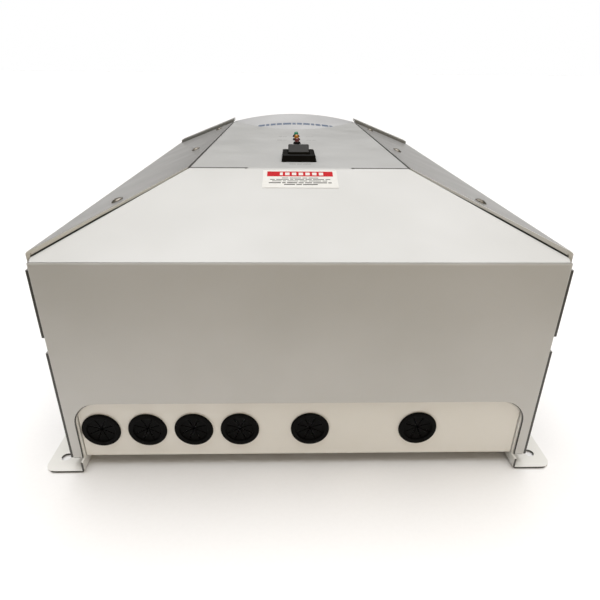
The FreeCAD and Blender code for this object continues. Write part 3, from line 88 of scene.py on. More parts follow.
def add_node(
    tree: bpy.types.NodeTree,
    kind: str,
    links: dict[str | int, Any] | None = None,
    values: dict[str | int, Any] | None = None,
    **settings: Any,
) -> bpy.types.Node:
    """Add one node with its settings, input values and incoming links.

    Args:
        tree: Shader or geometry tree that gets the node.
        kind: Blender's type name of the node.
        links: Output sockets by the input that they go to.
        values: Plain values by the input that they are set on.
        settings: Properties of the node itself.

    Returns:
        The new node.
    """
    node = tree.nodes.new(kind)
    for name, setting in settings.items():
        setattr(node, name, setting)
    for key, value in (values or {}).items():
        node.inputs[key].default_value = value
    for key, socket in (links or {}).items():
        tree.links.new(socket, node.inputs[key])
    return node


# ---- finishes -----------------------------------------------------------------------


@dataclass
class Skin:
    """A material while its finish is drawn on it.

    Attributes:
        tree: The material's tree.
        shader: Its Principled shader.
        place: Socket with Object coordinates, in metres.
    """

    tree: bpy.types.NodeTree
    shader: bpy.types.Node
    place: Any

    def add(self, kind: str, links: dict[str | int, Any] | None = None,
            values: dict[str | int, Any] | None = None, **settings: Any) -> bpy.types.Node:
        """Add a node to the tree."""
        return add_node(self.tree, kind, links, values, **settings)

    def put(self, levels: dict[str, Any]) -> None:
        """Set plain values on the shader, by input."""
        for title, level in levels.items():
            self.shader.inputs[title].default_value = level

    def noise(self, size_mm: float, detail: float = 2.0,
              stretch: tuple[float, float, float] = (1.0, 1.0, 1.0)) -> Any:
        """Add noise whose features are about as large as a size.

        Args:
            size_mm: Real size of one feature.
            detail: Octaves of finer noise.
            stretch: How much longer the features are along each axis.

        Returns:
            The noise's value socket.
        """
        place = self.place
        if stretch != (1.0, 1.0, 1.0):
            shrink = tuple(1 / s for s in stretch)
            place = self.add("ShaderNodeMapping", {"Vector": place}, {"Scale": shrink}).outputs[0]
        return self.add("ShaderNodeTexNoise", {"Vector": place},
                        {"Scale": 1 / (size_mm * MM), "Detail": detail}).outputs["Fac"]

    def cells(self, size_mm: float, **settings: str) -> bpy.types.Node:
        """Add cells of about a size."""
        return self.add("ShaderNodeTexVoronoi", {"Vector": self.place}, {"Scale": 1 / (size_mm * MM)},
                        **settings)

    def flakes(self, size_mm: float) -> Any:
        """Give each cell a grey of its own and return its socket."""
        return self.add("ShaderNodeSeparateColor", {0: self.cells(size_mm).outputs["Color"]}).outputs[0]

    def spread(self, pattern: Any, low: float, high: float, start: float = 0.3, end: float = 0.7) -> Any:
        """Map a part of a pattern's range to new limits.

        Args:
            pattern: Socket with the pattern.
            low: Result at the start of the range.
            high: Result at its end.
            start: Pattern value that gives low.
            end: Pattern value that gives high.

        Returns:
            The mapped value socket.
        """
        return self.add("ShaderNodeMapRange", {"Value": pattern},
                        {"From Min": start, "From Max": end, "To Min": low, "To Max": high}).outputs["Result"]

    def paint(self, share: Any, first: str, second: str) -> None:
        """Colour the surface from one hex colour to another as a pattern goes from zero to one."""
        mixer = self.add("ShaderNodeMix", {0: share}, {6: linear(first), 7: linear(second)}, data_type="RGBA")
        self.tree.links.new(mixer.outputs[2], self.shader.inputs["Base Color"])

    def polish(self, pattern: Any, low: float, high: float, start: float = 0.3, end: float = 0.7) -> None:
        """Vary the roughness with a pattern, between the limits that spread takes."""
        self.tree.links.new(self.spread(pattern, low, high, start, end), self.shader.inputs["Roughness"])

    def bump(self, height: Any, depth_mm: float) -> None:
        """Raise a pattern as a bump of a real depth."""
        raised = self.add("ShaderNodeBump", {"Height": height}, {"Strength": 1.0, "Distance": depth_mm * MM})
        self.tree.links.new(raised.outputs[0], self.shader.inputs["Normal"])


@dataclass(frozen=True)
class Finish:
    """A surface finish that can be put on any piece.

    Patterns read Object coordinates in metres, so a size in millimetres sets every scale.
    """

    name: str
    colour: str
    roughness: float = 0.5

    def material(self) -> bpy.types.Material:
        """Return the material of this finish, and make it the first time."""
        known = bpy.data.materials.get(self.name)
        if known is not None:
            return known
        made = bpy.data.materials.new(self.name)
        made.use_nodes = True
        tree = made.node_tree
        tree.nodes.clear()
        shader = add_node(tree, "ShaderNodeBsdfPrincipled",
                          values={"Roughness": self.roughness, "Base Color": linear(self.colour)})
        add_node(tree, "ShaderNodeOutputMaterial", {"Surface": shader.outputs[0]})
        self.dress(Skin(tree, shader, add_node(tree, "ShaderNodeTexCoord").outputs["Object"]))
        return made

    def dress(self, skin: Skin) -> None:
        """Draw the finish's own pattern."""


@dataclass(frozen=True)
class PowderCoat(Finish):
    """Baked polyester powder: an orange-peel skin a couple of millimetres across, semi-gloss."""

    shade: str = "d8d6d0"
    peel_mm: float = 2.2
    peel_depth_mm: float = 0.010
    cloud_mm: float = 140.0
    mark_mm: float = 45.0
    grit_mm: float = 0.9

    def dress(self, skin: Skin) -> None:
        """Lay orange peel, faint cloudiness and handling marks over the coat."""
        skin.paint(skin.spread(skin.noise(self.cloud_mm, 3), 0.0, 1.0, 0.35, 0.65), self.colour, self.shade)
        skin.polish(skin.noise(self.mark_mm, 4), self.roughness - 0.05, self.roughness + 0.07)
        peel, grit = skin.noise(self.peel_mm, 1), skin.noise(self.grit_mm)
        speck = skin.spread(grit, 0.0, 0.16, 0.4, 0.7)
        rough = skin.add("ShaderNodeMath", {0: peel, 1: grit, 2: speck}, operation="MULTIPLY_ADD")
        skin.bump(rough.outputs[0], self.peel_depth_mm)
        skin.put({"Coat Weight": 0.18, "Coat Roughness": 0.12})


@dataclass(frozen=True)
class GalvanisedSheet(Finish):
    """Hot-dip zinc on steel: flat crystals, each with its own grey."""

    dull: str = "9a9da0"
    spangle_mm: float = 9.0
    pit_mm: float = 0.8

    def dress(self, skin: Skin) -> None:
        """Draw the zinc spangle in colour and roughness."""
        skin.put({"Metallic": 1.0})
        grey = skin.flakes(self.spangle_mm)
        skin.paint(grey, self.colour, self.dull)
        skin.polish(grey, self.roughness - 0.1, self.roughness + 0.12, 0, 1)
        skin.bump(skin.noise(self.pit_mm), 0.006)


@dataclass(frozen=True)
class PlatedSteel(Finish):
    """Nickel or zinc over steel: bright, warm, with fine turning marks and dull spots."""

    dull: str = "6f6a62"
    spot_mm: float = 2.5
    scratch_mm: float = 0.35

    def dress(self, skin: Skin) -> None:
        """Add dull spots and fine scratches to the plating."""
        skin.put({"Metallic": 1.0})
        spots = skin.spread(skin.noise(self.spot_mm, 4), 0.0, 1.0, 0.42, 0.68)
        skin.paint(spots, self.colour, self.dull)
        skin.polish(spots, self.roughness, self.roughness + 0.25, 0, 1)
        skin.bump(skin.noise(self.scratch_mm, 3), 0.008)


@dataclass(frozen=True)
class Extrusion(Finish):
    """Mill-finish aluminium extrusion: die lines along its length."""

    dull: str = "a8abad"
    line_mm: float = 0.6
    line_stretch: tuple[float, float, float] = (1.0, 120.0, 1.0)

    def dress(self, skin: Skin) -> None:
        """Draw the die lines along Y."""
        skin.put({"Metallic": 1.0})
        lines = skin.noise(self.line_mm, stretch=self.line_stretch)
        skin.paint(lines, self.colour, self.dull)
        skin.polish(lines, self.roughness - 0.08, self.roughness + 0.1)
        skin.bump(lines, 0.012)


@dataclass(frozen=True)
class MouldedPlastic(Finish):
    """Injection-moulded nylon or ABS: an even spark-eroded texture under faint pale dust.

    The real texture is about 0.2 mm, and is drawn at texture_mm so that it shows.
    """

    pale: str = "2a2a2a"
    texture_mm: float = 0.5
    depth_mm: float = 0.02
    shine: float = 0.5
    dust_mm: float = 14.0

    def dress(self, skin: Skin) -> None:
        """Add the moulded texture and faint dust."""
        dust = skin.spread(skin.noise(self.dust_mm, 4), 0.0, 0.6, 0.45, 0.75)
        skin.paint(dust, self.colour, self.pale)
        grain = skin.noise(self.texture_mm)
        skin.polish(grain, self.roughness - 0.06, self.roughness + 0.1)
        skin.bump(grain, self.depth_mm)
        skin.put({"Specular IOR Level": self.shine})


@dataclass(frozen=True)
class MouldedRubber(MouldedPlastic):
    """Black EPDM rubber: deep black, satin, with a bloom of paler dust."""


@dataclass(frozen=True)
class PearlPlastic(Finish):
    """Polycarbonate crest with a metallic-flake paint under clear lacquer: cool pearl white."""

    flake: str = "c6cdd8"
    flake_mm: float = 0.7
    haze_mm: float = 60.0

    def dress(self, skin: Skin) -> None:
        """Scatter the flake and put the lacquer over it."""
        skin.paint(skin.spread(skin.flakes(self.flake_mm), 0.0, 0.7, 0.0, 1.0), self.colour, self.flake)
        skin.polish(skin.noise(self.haze_mm, 3), self.roughness - 0.05, self.roughness + 0.06)
        skin.put({"Metallic": 0.12, "Coat Weight": 0.6, "Coat Roughness": 0.08})


@dataclass(frozen=True)
class LampEpoxy(Finish):
    """Tinted diffused epoxy of an indicator lamp: glossy, lit from inside by scatter."""

    deep: str = "203020"
    cloud_mm: float = 1.6
    ripple_mm: float = 1.2
    scatter_mm: float = 2.0

    def dress(self, skin: Skin) -> None:
        """Cloud the epoxy and let light scatter in it."""
        cloud = skin.spread(skin.noise(self.cloud_mm, 3), 0.0, 1.0, 0.35, 0.7)
        skin.paint(cloud, self.colour, self.deep)
        skin.put({"Subsurface Weight": 0.35, "Subsurface Scale": self.scatter_mm * MM,
                  "Subsurface Radius": (1.0, 1.0, 1.0), "Coat Weight": 0.5, "Coat Roughness": 0.05})
        skin.bump(skin.noise(self.ripple_mm, 1), 0.01)


@dataclass(frozen=True)
class PrintedFilm(Finish):
    """Vinyl label stock or screen ink: a fine film, satin, faintly mottled."""

    shade: str = "cfcfcc"
    shine: float = 0.5
    mottle_mm: float = 3.5
    tooth_mm: float = 0.4

    def dress(self, skin: Skin) -> None:
        """Mottle the print and leave a fine tooth on it."""
        mottle = skin.spread(skin.noise(self.mottle_mm, 4), 0.0, 1.0, 0.4, 0.8)
        skin.paint(mottle, self.colour, self.shade)
        skin.polish(mottle, self.roughness, self.roughness + 0.1, 0, 1)
        skin.bump(skin.noise(self.tooth_mm, 1), 0.004)
        skin.put({"Specular IOR Level": self.shine})


@dataclass(frozen=True)
class BoardLaminate(Finish):
    """Glass-epoxy board under green solder mask, with copper tracks showing through."""

    track: str = "1f6b3c"
    pitch_mm: float = 7.0

    def dress(self, skin: Skin) -> None:
        """Draw the tracks as the edges of square cells."""
        cells = skin.cells(self.pitch_mm, distance="MANHATTAN")
        edge = skin.spread(cells.outputs["Distance"], 1.0, 0.0, 0.42, 0.55)
        skin.paint(edge, self.track, self.colour)
        skin.bump(edge, 0.03)
        skin.put({"Coat Weight": 0.4})


@dataclass(frozen=True)
class WoundWire(Finish):
    """Enamelled copper wire: glossy amber-brown varnish over metal."""

    dark: str = "7a3a14"
    drift_mm: float = 5.0
    grain_mm: float = 0.7

    def dress(self, skin: Skin) -> None:
        """Vary the varnish from turn to turn."""
        skin.put({"Metallic": 0.85})
        skin.paint(skin.spread(skin.noise(self.drift_mm, 3), 0.0, 1.0), self.colour, self.dark)
        skin.bump(skin.noise(self.grain_mm), 0.01)


@dataclass(frozen=True)
class Laminations(Finish):
    """Stacked core steel under dark varnish: a fine line for each sheet."""

    varnish: str = "1b1a19"
    sheet_mm: float = 1.0

    def dress(self, skin: Skin) -> None:
        """Draw the sheet edges as bands along Y."""
        skin.put({"Metallic": 0.7})
        bands = skin.add("ShaderNodeTexWave", {"Vector": skin.place},
                         {"Scale": WAVE_PER_METRE / (self.sheet_mm * MM), "Distortion": 0.4},
                         bands_direction="Y").outputs["Fac"]
        skin.paint(bands, self.colour, self.varnish)
        skin.bump(bands, 0.15)


WHITE_COAT = PowderCoat("white powder coat", "cccdce", 0.34, shade="c5c6c6")
# Painted shade: the side covers and rear end plate have the front's white coat, painted grey to stand in for
# the shade on their facets
SHADED_SIDE_COAT = PowderCoat("light grey powder coat", "9d9d9d", 0.38, shade="979797", peel_depth_mm=0.004)
BAND_COAT = PowderCoat("mid grey powder coat", "8f908e", 0.36, shade="858684")
ENTRY_COAT = PowderCoat("warm white powder coat", "ecebe8", 0.42, shade="e6e5e1")
RAIL_COAT = PowderCoat("bright white powder coat", "eeeeec", 0.4, shade="e8e8e5")
# Painted shade: a dark coat put on cut faces where shade and shadow fall, in slits, holes, under the
# cut-out's lip and on edge faces
EDGE_SHADE = PowderCoat("dark coat as painted edge shade", "4c4c4a", 0.5, shade="3f3f3d")
ZINC = GalvanisedSheet("galvanised sheet", "b4b7b9", 0.38)
NICKEL = PlatedSteel("nickel plated steel", "8f8a82", 0.3)
BRIGHT_WIRE = PlatedSteel("bright plated wire", "b5b7ba", 0.24)
BRASS = PlatedSteel("drawn brass", "b8924a", 0.3)
RUBBER = MouldedRubber("moulded rubber", "010101", 0.62, pale="060607", texture_mm=0.8, depth_mm=0.012,
                       shine=0.1)
NYLON = MouldedPlastic("black nylon", "020203", 0.42, pale="0a0b0c", texture_mm=0.6, shine=0.12)
PADDLE_NYLON = MouldedPlastic("textured black nylon", "20201f", 0.6, pale="2c2b29", texture_mm=0.7,
                              depth_mm=0.04, shine=0.3)
TERMINAL_NYLON = MouldedPlastic("grey-green nylon", "56705c", 0.45, pale="667d6b")
EPOXY = MouldedPlastic("black moulding epoxy", "161616", 0.5, pale="232323")
SLEEVE = MouldedPlastic("shrink sleeve", "10141f", 0.3, pale="1c2230", texture_mm=2.0)
CERAMIC = MouldedPlastic("glazed ceramic", "d9d5ca", 0.2, pale="c8c3b5", texture_mm=1.5, depth_mm=0.008)
CREST = PearlPlastic("pearl plastic", "e8e9ec", 0.34, flake="dfe1e6")
CREST_INK = PrintedFilm("blue-grey ink", "66748c", 0.35, shade="74829a")
LABEL = PrintedFilm("white vinyl", "e0e0de", 0.42, shade="dadad7")
RED_INK = PrintedFilm("red ink", "c40016", 0.5, shade="b40013", shine=0.12)
GREY_INK = PrintedFilm("dark grey ink", "383836", 0.5, shade="4a4a48", shine=0.2)
PALE_INK = PrintedFilm("pale grey ink", "6c6c69", 0.5, shade="787874")
GREEN_LAMP = LampEpoxy("green lamp epoxy", "1f9c78", 0.18, deep="0f6a4f")
AMBER_LAMP = LampEpoxy("amber lamp epoxy", "d08a08", 0.3, deep="a06004")
RED_LAMP = LampEpoxy("red lamp epoxy", "78101c", 0.3, deep="46060e")
ALUMINIUM = Extrusion("extruded aluminium", "c9cbcd", 0.35)
LAMINATE = BoardLaminate("green laminate", "17472a", 0.32)
COPPER = WoundWire("enamelled copper", "b5642a", 0.25)
CORE_STEEL = Laminations("core laminations", "4a4846", 0.45)


# ---- geometry tools -----------------------------------------------------------------


def new_object(name: str, mesh: bpy.types.Mesh) -> bpy.types.Object:
    """Put a mesh in the scene as an object at the origin."""
    made = bpy.data.objects.new(name, mesh)
    bpy.context.scene.collection.objects.link(made)
    return made


def from_bmesh(name: str, work: bmesh.types.BMesh) -> bpy.types.Object:
    """Turn a finished bmesh into an object, with its normals outwards."""
    bmesh.ops.recalc_face_normals(work, faces=work.faces)
    mesh = bpy.data.meshes.new(name)
    work.to_mesh(mesh)
    work.free()
    return new_object(name, mesh)


def merged_mesh(node: str) -> bpy.types.Mesh:
    """Copy a CAD node's mesh with its triangles joined and its flat faces whole.

    Args:
        node: Name of the CAD node.

    Returns:
        A new mesh in the same place.
    """
    work = bmesh.new()
    work.from_mesh(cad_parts[node].data)
    bmesh.ops.remove_doubles(work, verts=work.verts, dist=WELD)
    bmesh.ops.dissolve_limit(work, angle_limit=math.radians(0.4), verts=work.verts, edges=work.edges)
    mesh = bpy.data.meshes.new(node)
    work.to_mesh(mesh)
    work.free()
    return mesh


def soften(piece: bpy.types.Object, angle: float = 35.0) -> None:
    """Shade a piece smooth, apart from edges sharper than an angle in degrees."""
    mesh = piece.data
    mesh.polygons.foreach_set("use_smooth", [True] * len(mesh.polygons))
    mesh.set_sharp_from_angle(angle=math.radians(angle))


def settle(piece: bpy.types.Object) -> bpy.types.Object:
    """Turn a piece's modifiers into plain mesh."""
    bpy.context.view_layer.update()
    evaluated = piece.evaluated_get(bpy.context.evaluated_depsgraph_get())
    mesh = bpy.data.meshes.new_from_object(evaluated)
    piece.modifiers.clear()
    piece.data = mesh
    return piece


def dress(piece: bpy.types.Object, finish: Finish) -> None:
    """Give a piece one finish all over."""
    piece.data.materials.clear()
    piece.data.materials.append(finish.material())


def publish(piece: bpy.types.Object, body: Body, slot: str, *replaced: str) -> bpy.types.Object:
    """Hand a finished piece to the frame and report it.

    Args:
        piece: The piece, at the origin.
        body: Body that it moves with.
        slot: The record's material slot of its finish; not used.
        replaced: CAD nodes that it stands for.

    Returns:
        The same piece.
    """
    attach(piece, body.value)
    if replaced:
        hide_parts(*replaced)
    log.info("%s: %d faces on %s, for %s", piece.name, len(piece.data.polygons), body.value,
             ", ".join(replaced) or "no node")
    return piece


def revolve(work: bmesh.types.BMesh, outline: Sequence[tuple[float, float]], steps: int = 48) -> None:
    """Turn an outline of radius and height pairs about Z into a closed solid.

    Args:
        work: Where the faces go.
        outline: Points in order, in metres; a radius of zero is on the axis.
        steps: Facets round the axis.
    """
    rings = []
    for radius, height in outline:
        if radius < ON_AXIS:
            rings.append([work.verts.new((0, 0, height))])
            continue
        rings.append([
            work.verts.new((radius * math.cos(turn), radius * math.sin(turn), height))
            for turn in (2 * math.pi * step / steps for step in range(steps))
        ])
    for below, above in zip(rings, rings[1:]):
        for step in range(steps):
            following = (step + 1) % steps
            corners = [below[step % len(below)], below[following % len(below)],
                       above[following % len(above)], above[step % len(above)]]
            unique = list(dict.fromkeys(corners))
            if len(unique) > 2:
                work.faces.new(unique)


def arc(centre: tuple[float, float], radius: float, start: float, end: float, count: int
        ) -> list[tuple[float, float]]:
    """Points on an arc, from one angle in degrees to another."""
    return [
        (centre[0] + radius * math.cos(math.radians(start + (end - start) * i / count)),
         centre[1] + radius * math.sin(math.radians(start + (end - start) * i / count)))
        for i in range(count + 1)
    ]


class Recipe:
    """A geometry-node tree with named inputs, turned into plain mesh once it is set."""

    def __init__(self, name: str, inputs: dict[str, str]) -> None:
        """Make an empty tree.

        Args:
            name: Name of the tree.
            inputs: Socket type of each named input.
        """
        self.tree = bpy.data.node_groups.new(name, "GeometryNodeTree")
        face = self.tree.interface
        face.new_socket(name="Geometry", in_out="INPUT", socket_type="NodeSocketGeometry")
        for title, kind in inputs.items():
            face.new_socket(name=title, in_out="INPUT", socket_type=kind)
        face.new_socket(name="Geometry", in_out="OUTPUT", socket_type="NodeSocketGeometry")
        self.given = add_node(self.tree, "NodeGroupInput").outputs

    def node(self, kind: str, links: dict[str | int, Any] | None = None,
             values: dict[str | int, Any] | None = None, **settings: Any) -> bpy.types.Node:
        """Add a node to the tree."""
        return add_node(self.tree, kind, links, values, **settings)

    def part(self, title: str) -> Any:
        """Geometry of the object that is given to an input."""
        return self.node("GeometryNodeObjectInfo", {"Object": self.given[title]}).outputs["Geometry"]

    def stored(self, name: str) -> Any:
        """Vector that each point of the host carries under a name."""
        return self.node("GeometryNodeInputNamedAttribute", values={"Name": name},
                         data_type="FLOAT_VECTOR").outputs[0]

    def upright(self) -> Any:
        """Turn that stands a part along its point's axis."""
        return self.node("FunctionNodeAlignRotationToVector", {"Vector": self.stored("axis")},
                         axis="Z").outputs[0]

    def copy(self, points: Any, part: Any, turn: Any, **more: Any) -> Any:
        """Set a part on points, each copy with its turn, and return the copies."""
        return self.node("GeometryNodeInstanceOnPoints",
                         {"Points": points, "Instance": part, "Rotation": turn, **more}).outputs[0]

    def finish(self, geometry: Any, finish: Finish) -> None:
        """End the tree with realized instances in one material."""
        real = self.node("GeometryNodeRealizeInstances", {"Geometry": geometry})
        coated = self.node("GeometryNodeSetMaterial", {"Geometry": real.outputs[0]},
                           {"Material": finish.material()})
        self.node("NodeGroupOutput", {"Geometry": coated.outputs[0]})

    def make(self, name: str, host: bpy.types.Mesh, values: dict[str, Any]) -> bpy.types.Object:
        """Run the tree on a mesh.

        Args:
            name: Name of the piece.
            host: Mesh that the tree starts from.
            values: Value of each named input.

        Returns:
            The result as a plain mesh object.
        """
        piece = new_object(name, host)
        stage = piece.modifiers.new("recipe", "NODES")
        stage.node_group = self.tree
        for item in self.tree.interface.items_tree:
            if item.in_out == "INPUT" and item.name in values:
                stage[item.identifier] = values[item.name]
        return settle(piece)


def point_mesh(name: str, points: Iterable[Vector], axes: Iterable[Vector]) -> bpy.types.Mesh:
    """Make a mesh of loose points that each carry an axis.

    Args:
        name: Name of the mesh.
        points: Where the points are.
        axes: The direction that each one faces.

    Returns:
        The mesh, with its axes in an attribute.
    """
    mesh = bpy.data.meshes.new(name)
    mesh.from_pydata([tuple(p) for p in points], [], [])
    facing = mesh.attributes.new("axis", "FLOAT_VECTOR", "POINT")
    facing.data.foreach_set("vector", [c for a in axes for c in a])
    return mesh


def instancer(name: str, finish: Finish) -> Recipe:
    """Make the tree that sets one part on every point, turned to the point's axis.

    Its inputs are the part, how far each copy may be turned about its axis, and the seed.
    """
    recipe = Recipe(name, {"Part": "NodeSocketObject", "Spin": "NodeSocketFloat", "Seed": "NodeSocketInt"})
    chance = recipe.node("FunctionNodeRandomValue", {3: recipe.given["Spin"], "Seed": recipe.given["Seed"]},
                         data_type="FLOAT")
    about = recipe.node("ShaderNodeCombineXYZ", {"Z": chance.outputs[1]})
    twist = recipe.node("FunctionNodeEulerToRotation", {0: about.outputs[0]})
    turned = recipe.node("FunctionNodeRotateRotation", {0: recipe.upright(), 1: twist.outputs[0]},
                         rotation_space="LOCAL")
    recipe.finish(recipe.copy(recipe.given["Geometry"], recipe.part("Part"), turned.outputs[0]), finish)
    return recipe


def star(name: str, finish: Finish) -> Recipe:
    """Make the tree of a part with equal arms round its axis, set on every point of the host.

    Its inputs are the middle part, one arm, how many arms there are and the angle they fill.
    """
    recipe = Recipe(name, {"Middle": "NodeSocketObject", "Arm": "NodeSocketObject",
                           "Count": "NodeSocketInt", "Sweep": "NodeSocketFloat"})
    marks = recipe.node("GeometryNodePoints", {"Count": recipe.given["Count"]})
    number = recipe.node("GeometryNodeInputIndex")
    step = recipe.node("ShaderNodeMath", {0: recipe.given["Sweep"], 1: recipe.given["Count"]},
                       operation="DIVIDE")
    angle = recipe.node("ShaderNodeMath", {0: number.outputs[0], 1: step.outputs[0]}, operation="MULTIPLY")
    about = recipe.node("ShaderNodeCombineXYZ", {"Z": angle.outputs[0]})
    turn = recipe.node("FunctionNodeEulerToRotation", {0: about.outputs[0]})
    arms = recipe.copy(marks.outputs[0], recipe.part("Arm"), turn.outputs[0])
    whole = recipe.node("GeometryNodeJoinGeometry", {"Geometry": arms})
    recipe.tree.links.new(recipe.part("Middle"), whole.inputs[0])
    recipe.finish(recipe.copy(recipe.given["Geometry"], whole.outputs[0], recipe.upright()), finish)
    return recipe


def bars(name: str, finish: Finish) -> Recipe:
    """Make the tree that sets a thin bar of ink on every point, as large as the point's size."""
    recipe = Recipe(name, {"Thickness": "NodeSocketFloat"})
    cube = recipe.node("GeometryNodeMeshCube", values={"Size": (1.0, 1.0, 1.0)})
    split = recipe.node("ShaderNodeSeparateXYZ", {0: recipe.stored("size")})
    scale = recipe.node("ShaderNodeCombineXYZ", {"X": split.outputs[0], "Y": split.outputs[1],
                                                 "Z": recipe.given["Thickness"]})
    recipe.finish(recipe.copy(recipe.given["Geometry"], cube.outputs["Mesh"], recipe.upright(),
                              Scale=scale.outputs[0]), finish)
    return recipe


def islands(node: str) -> list[tuple[Vector, Vector]]:
    """Find the separate solids of a CAD node.

    Args:
        node: Name of the CAD node.

    Returns:
        The lowest and highest corner of each solid.
    """
    work = bmesh.new()
    work.from_mesh(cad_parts[node].data)
    bmesh.ops.remove_doubles(work, verts=work.verts, dist=WELD)
    unseen = set(work.verts)
    found = []
    while unseen:
        front = [unseen.pop()]
        members = []
        while front:
            corner = front.pop()
            members.append(corner.co.copy())
            for edge in corner.link_edges:
                other = edge.other_vert(corner)
                if other in unseen:
                    unseen.discard(other)
                    front.append(other)
        low = Vector([min(p[i] for p in members) for i in range(3)])
        high = Vector([max(p[i] for p in members) for i in range(3)])
        found.append((low, high))
    work.free()
    return sorted(found, key=lambda pair: tuple(round(c, 5) for c in pair[0]))


class Surface:
    """Outer faces of some CAD nodes, to lay small things on."""

    hair: float = 0.03 * MM
    high: float = 1.0

    def __init__(self, *nodes: str) -> None:
        """Index the faces of the nodes."""
        work = bmesh.new()
        for node in nodes:
            work.from_mesh(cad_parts[node].data)
        self.tree = BVHTree.FromBMesh(work)
        work.free()

    def below(self, x: float, y: float) -> tuple[Vector, Vector]:
        """Find the topmost surface at a place.

        The ray starts a hair off the place, so that it doesn't run exactly along an edge.

        Args:
            x: Place across the enclosure, in metres.
            y: Place along it, in metres.

        Returns:
            The point and the surface's normal there.
        """
        start = Vector((x + self.hair, y + self.hair, self.high))
        point, normal, _, _ = self.tree.ray_cast(start, Vector((0, 0, -1)))
        if point is None:
            raise ValueError(f"nothing lies under {x:.3f}, {y:.3f}")
        return point, normal


def round_edges(piece: bpy.types.Object, edge_mm: float, bend_mm: float = 0.0, segments: int = 2
                ) -> bpy.types.Object:
    """Round a piece's cut edges and, if asked, the shallow bends between its wide faces.

    Args:
        piece: The piece, whose flat faces are whole.
        edge_mm: Width of the rounding of a cut edge.
        bend_mm: Width of the rounding of a bend.
        segments: Facets in each rounding.

    Returns:
        The same piece, as plain mesh.
    """
    cut_turn, bend_turn = math.radians(32), math.radians(6)
    wide_face = 1e-3
    largest = max(edge_mm, bend_mm)
    work = bmesh.new()
    work.from_mesh(piece.data)
    weight = work.edges.layers.float.new("bevel_weight_edge")
    areas = {face: face.calc_area() for face in work.faces}
    for edge in work.edges:
        if len(edge.link_faces) != 2:
            continue
        turn = edge.calc_face_angle()
        if turn > cut_turn:
            edge[weight] = edge_mm / largest
        elif turn > bend_turn and min(areas[face] for face in edge.link_faces) > wide_face:
            edge[weight] = bend_mm / largest
    work.to_mesh(piece.data)
    work.free()
    piece.data.polygons.foreach_set("use_smooth", [True] * len(piece.data.polygons))
    rounding = piece.modifiers.new("edge", "BEVEL")
    rounding.width = largest * MM
    rounding.segments = segments
    rounding.limit_method = "WEIGHT"
    rounding.use_clamp_overlap = False
    flat = piece.modifiers.new("flat", "WEIGHTED_NORMAL")
    flat.mode = "FACE_AREA"
    flat.weight = 100
    return flatten_faces(settle(piece))


def flatten_faces(piece: bpy.types.Object, wide_face: float = 1e-4) -> bpy.types.Object:
    """Shade every wide face dead flat, so that only the roundings round it bend the light.

    Args:
        piece: The rounded piece, as plain mesh.
        wide_face: Least area of a wide face, in square metres.

    Returns:
        The same piece.
    """
    normals = [tuple(corner.vector) for corner in piece.data.corner_normals]
    for face in piece.data.polygons:
        if face.area > wide_face:
            for loop in face.loop_indices:
                normals[loop] = tuple(face.normal)
    piece.data.normals_split_custom_set(normals)
    return piece


def finish_node(node: str, name: str, finish: Finish, slot: str, edge_mm: float,
                body: Body = Body.ENCLOSURE, segments: int = 2) -> bpy.types.Object:
    """Make a piece from a CAD node's own shape, with its edges rounded.

    Args:
        node: The CAD node.
        name: Name of the piece.
        finish: Its finish.
        slot: The record's material slot.
        edge_mm: Width of the rounding.
        body: Body that it moves with.
        segments: Facets in each rounding.

    Returns:
        The published piece.
    """
    piece = new_object(name, merged_mesh(node))
    round_edges(piece, edge_mm, segments=segments)
    dress(piece, finish)
    return publish(piece, body, slot, node)


# ---- sub-assemblies -----------------------------------------------------------------


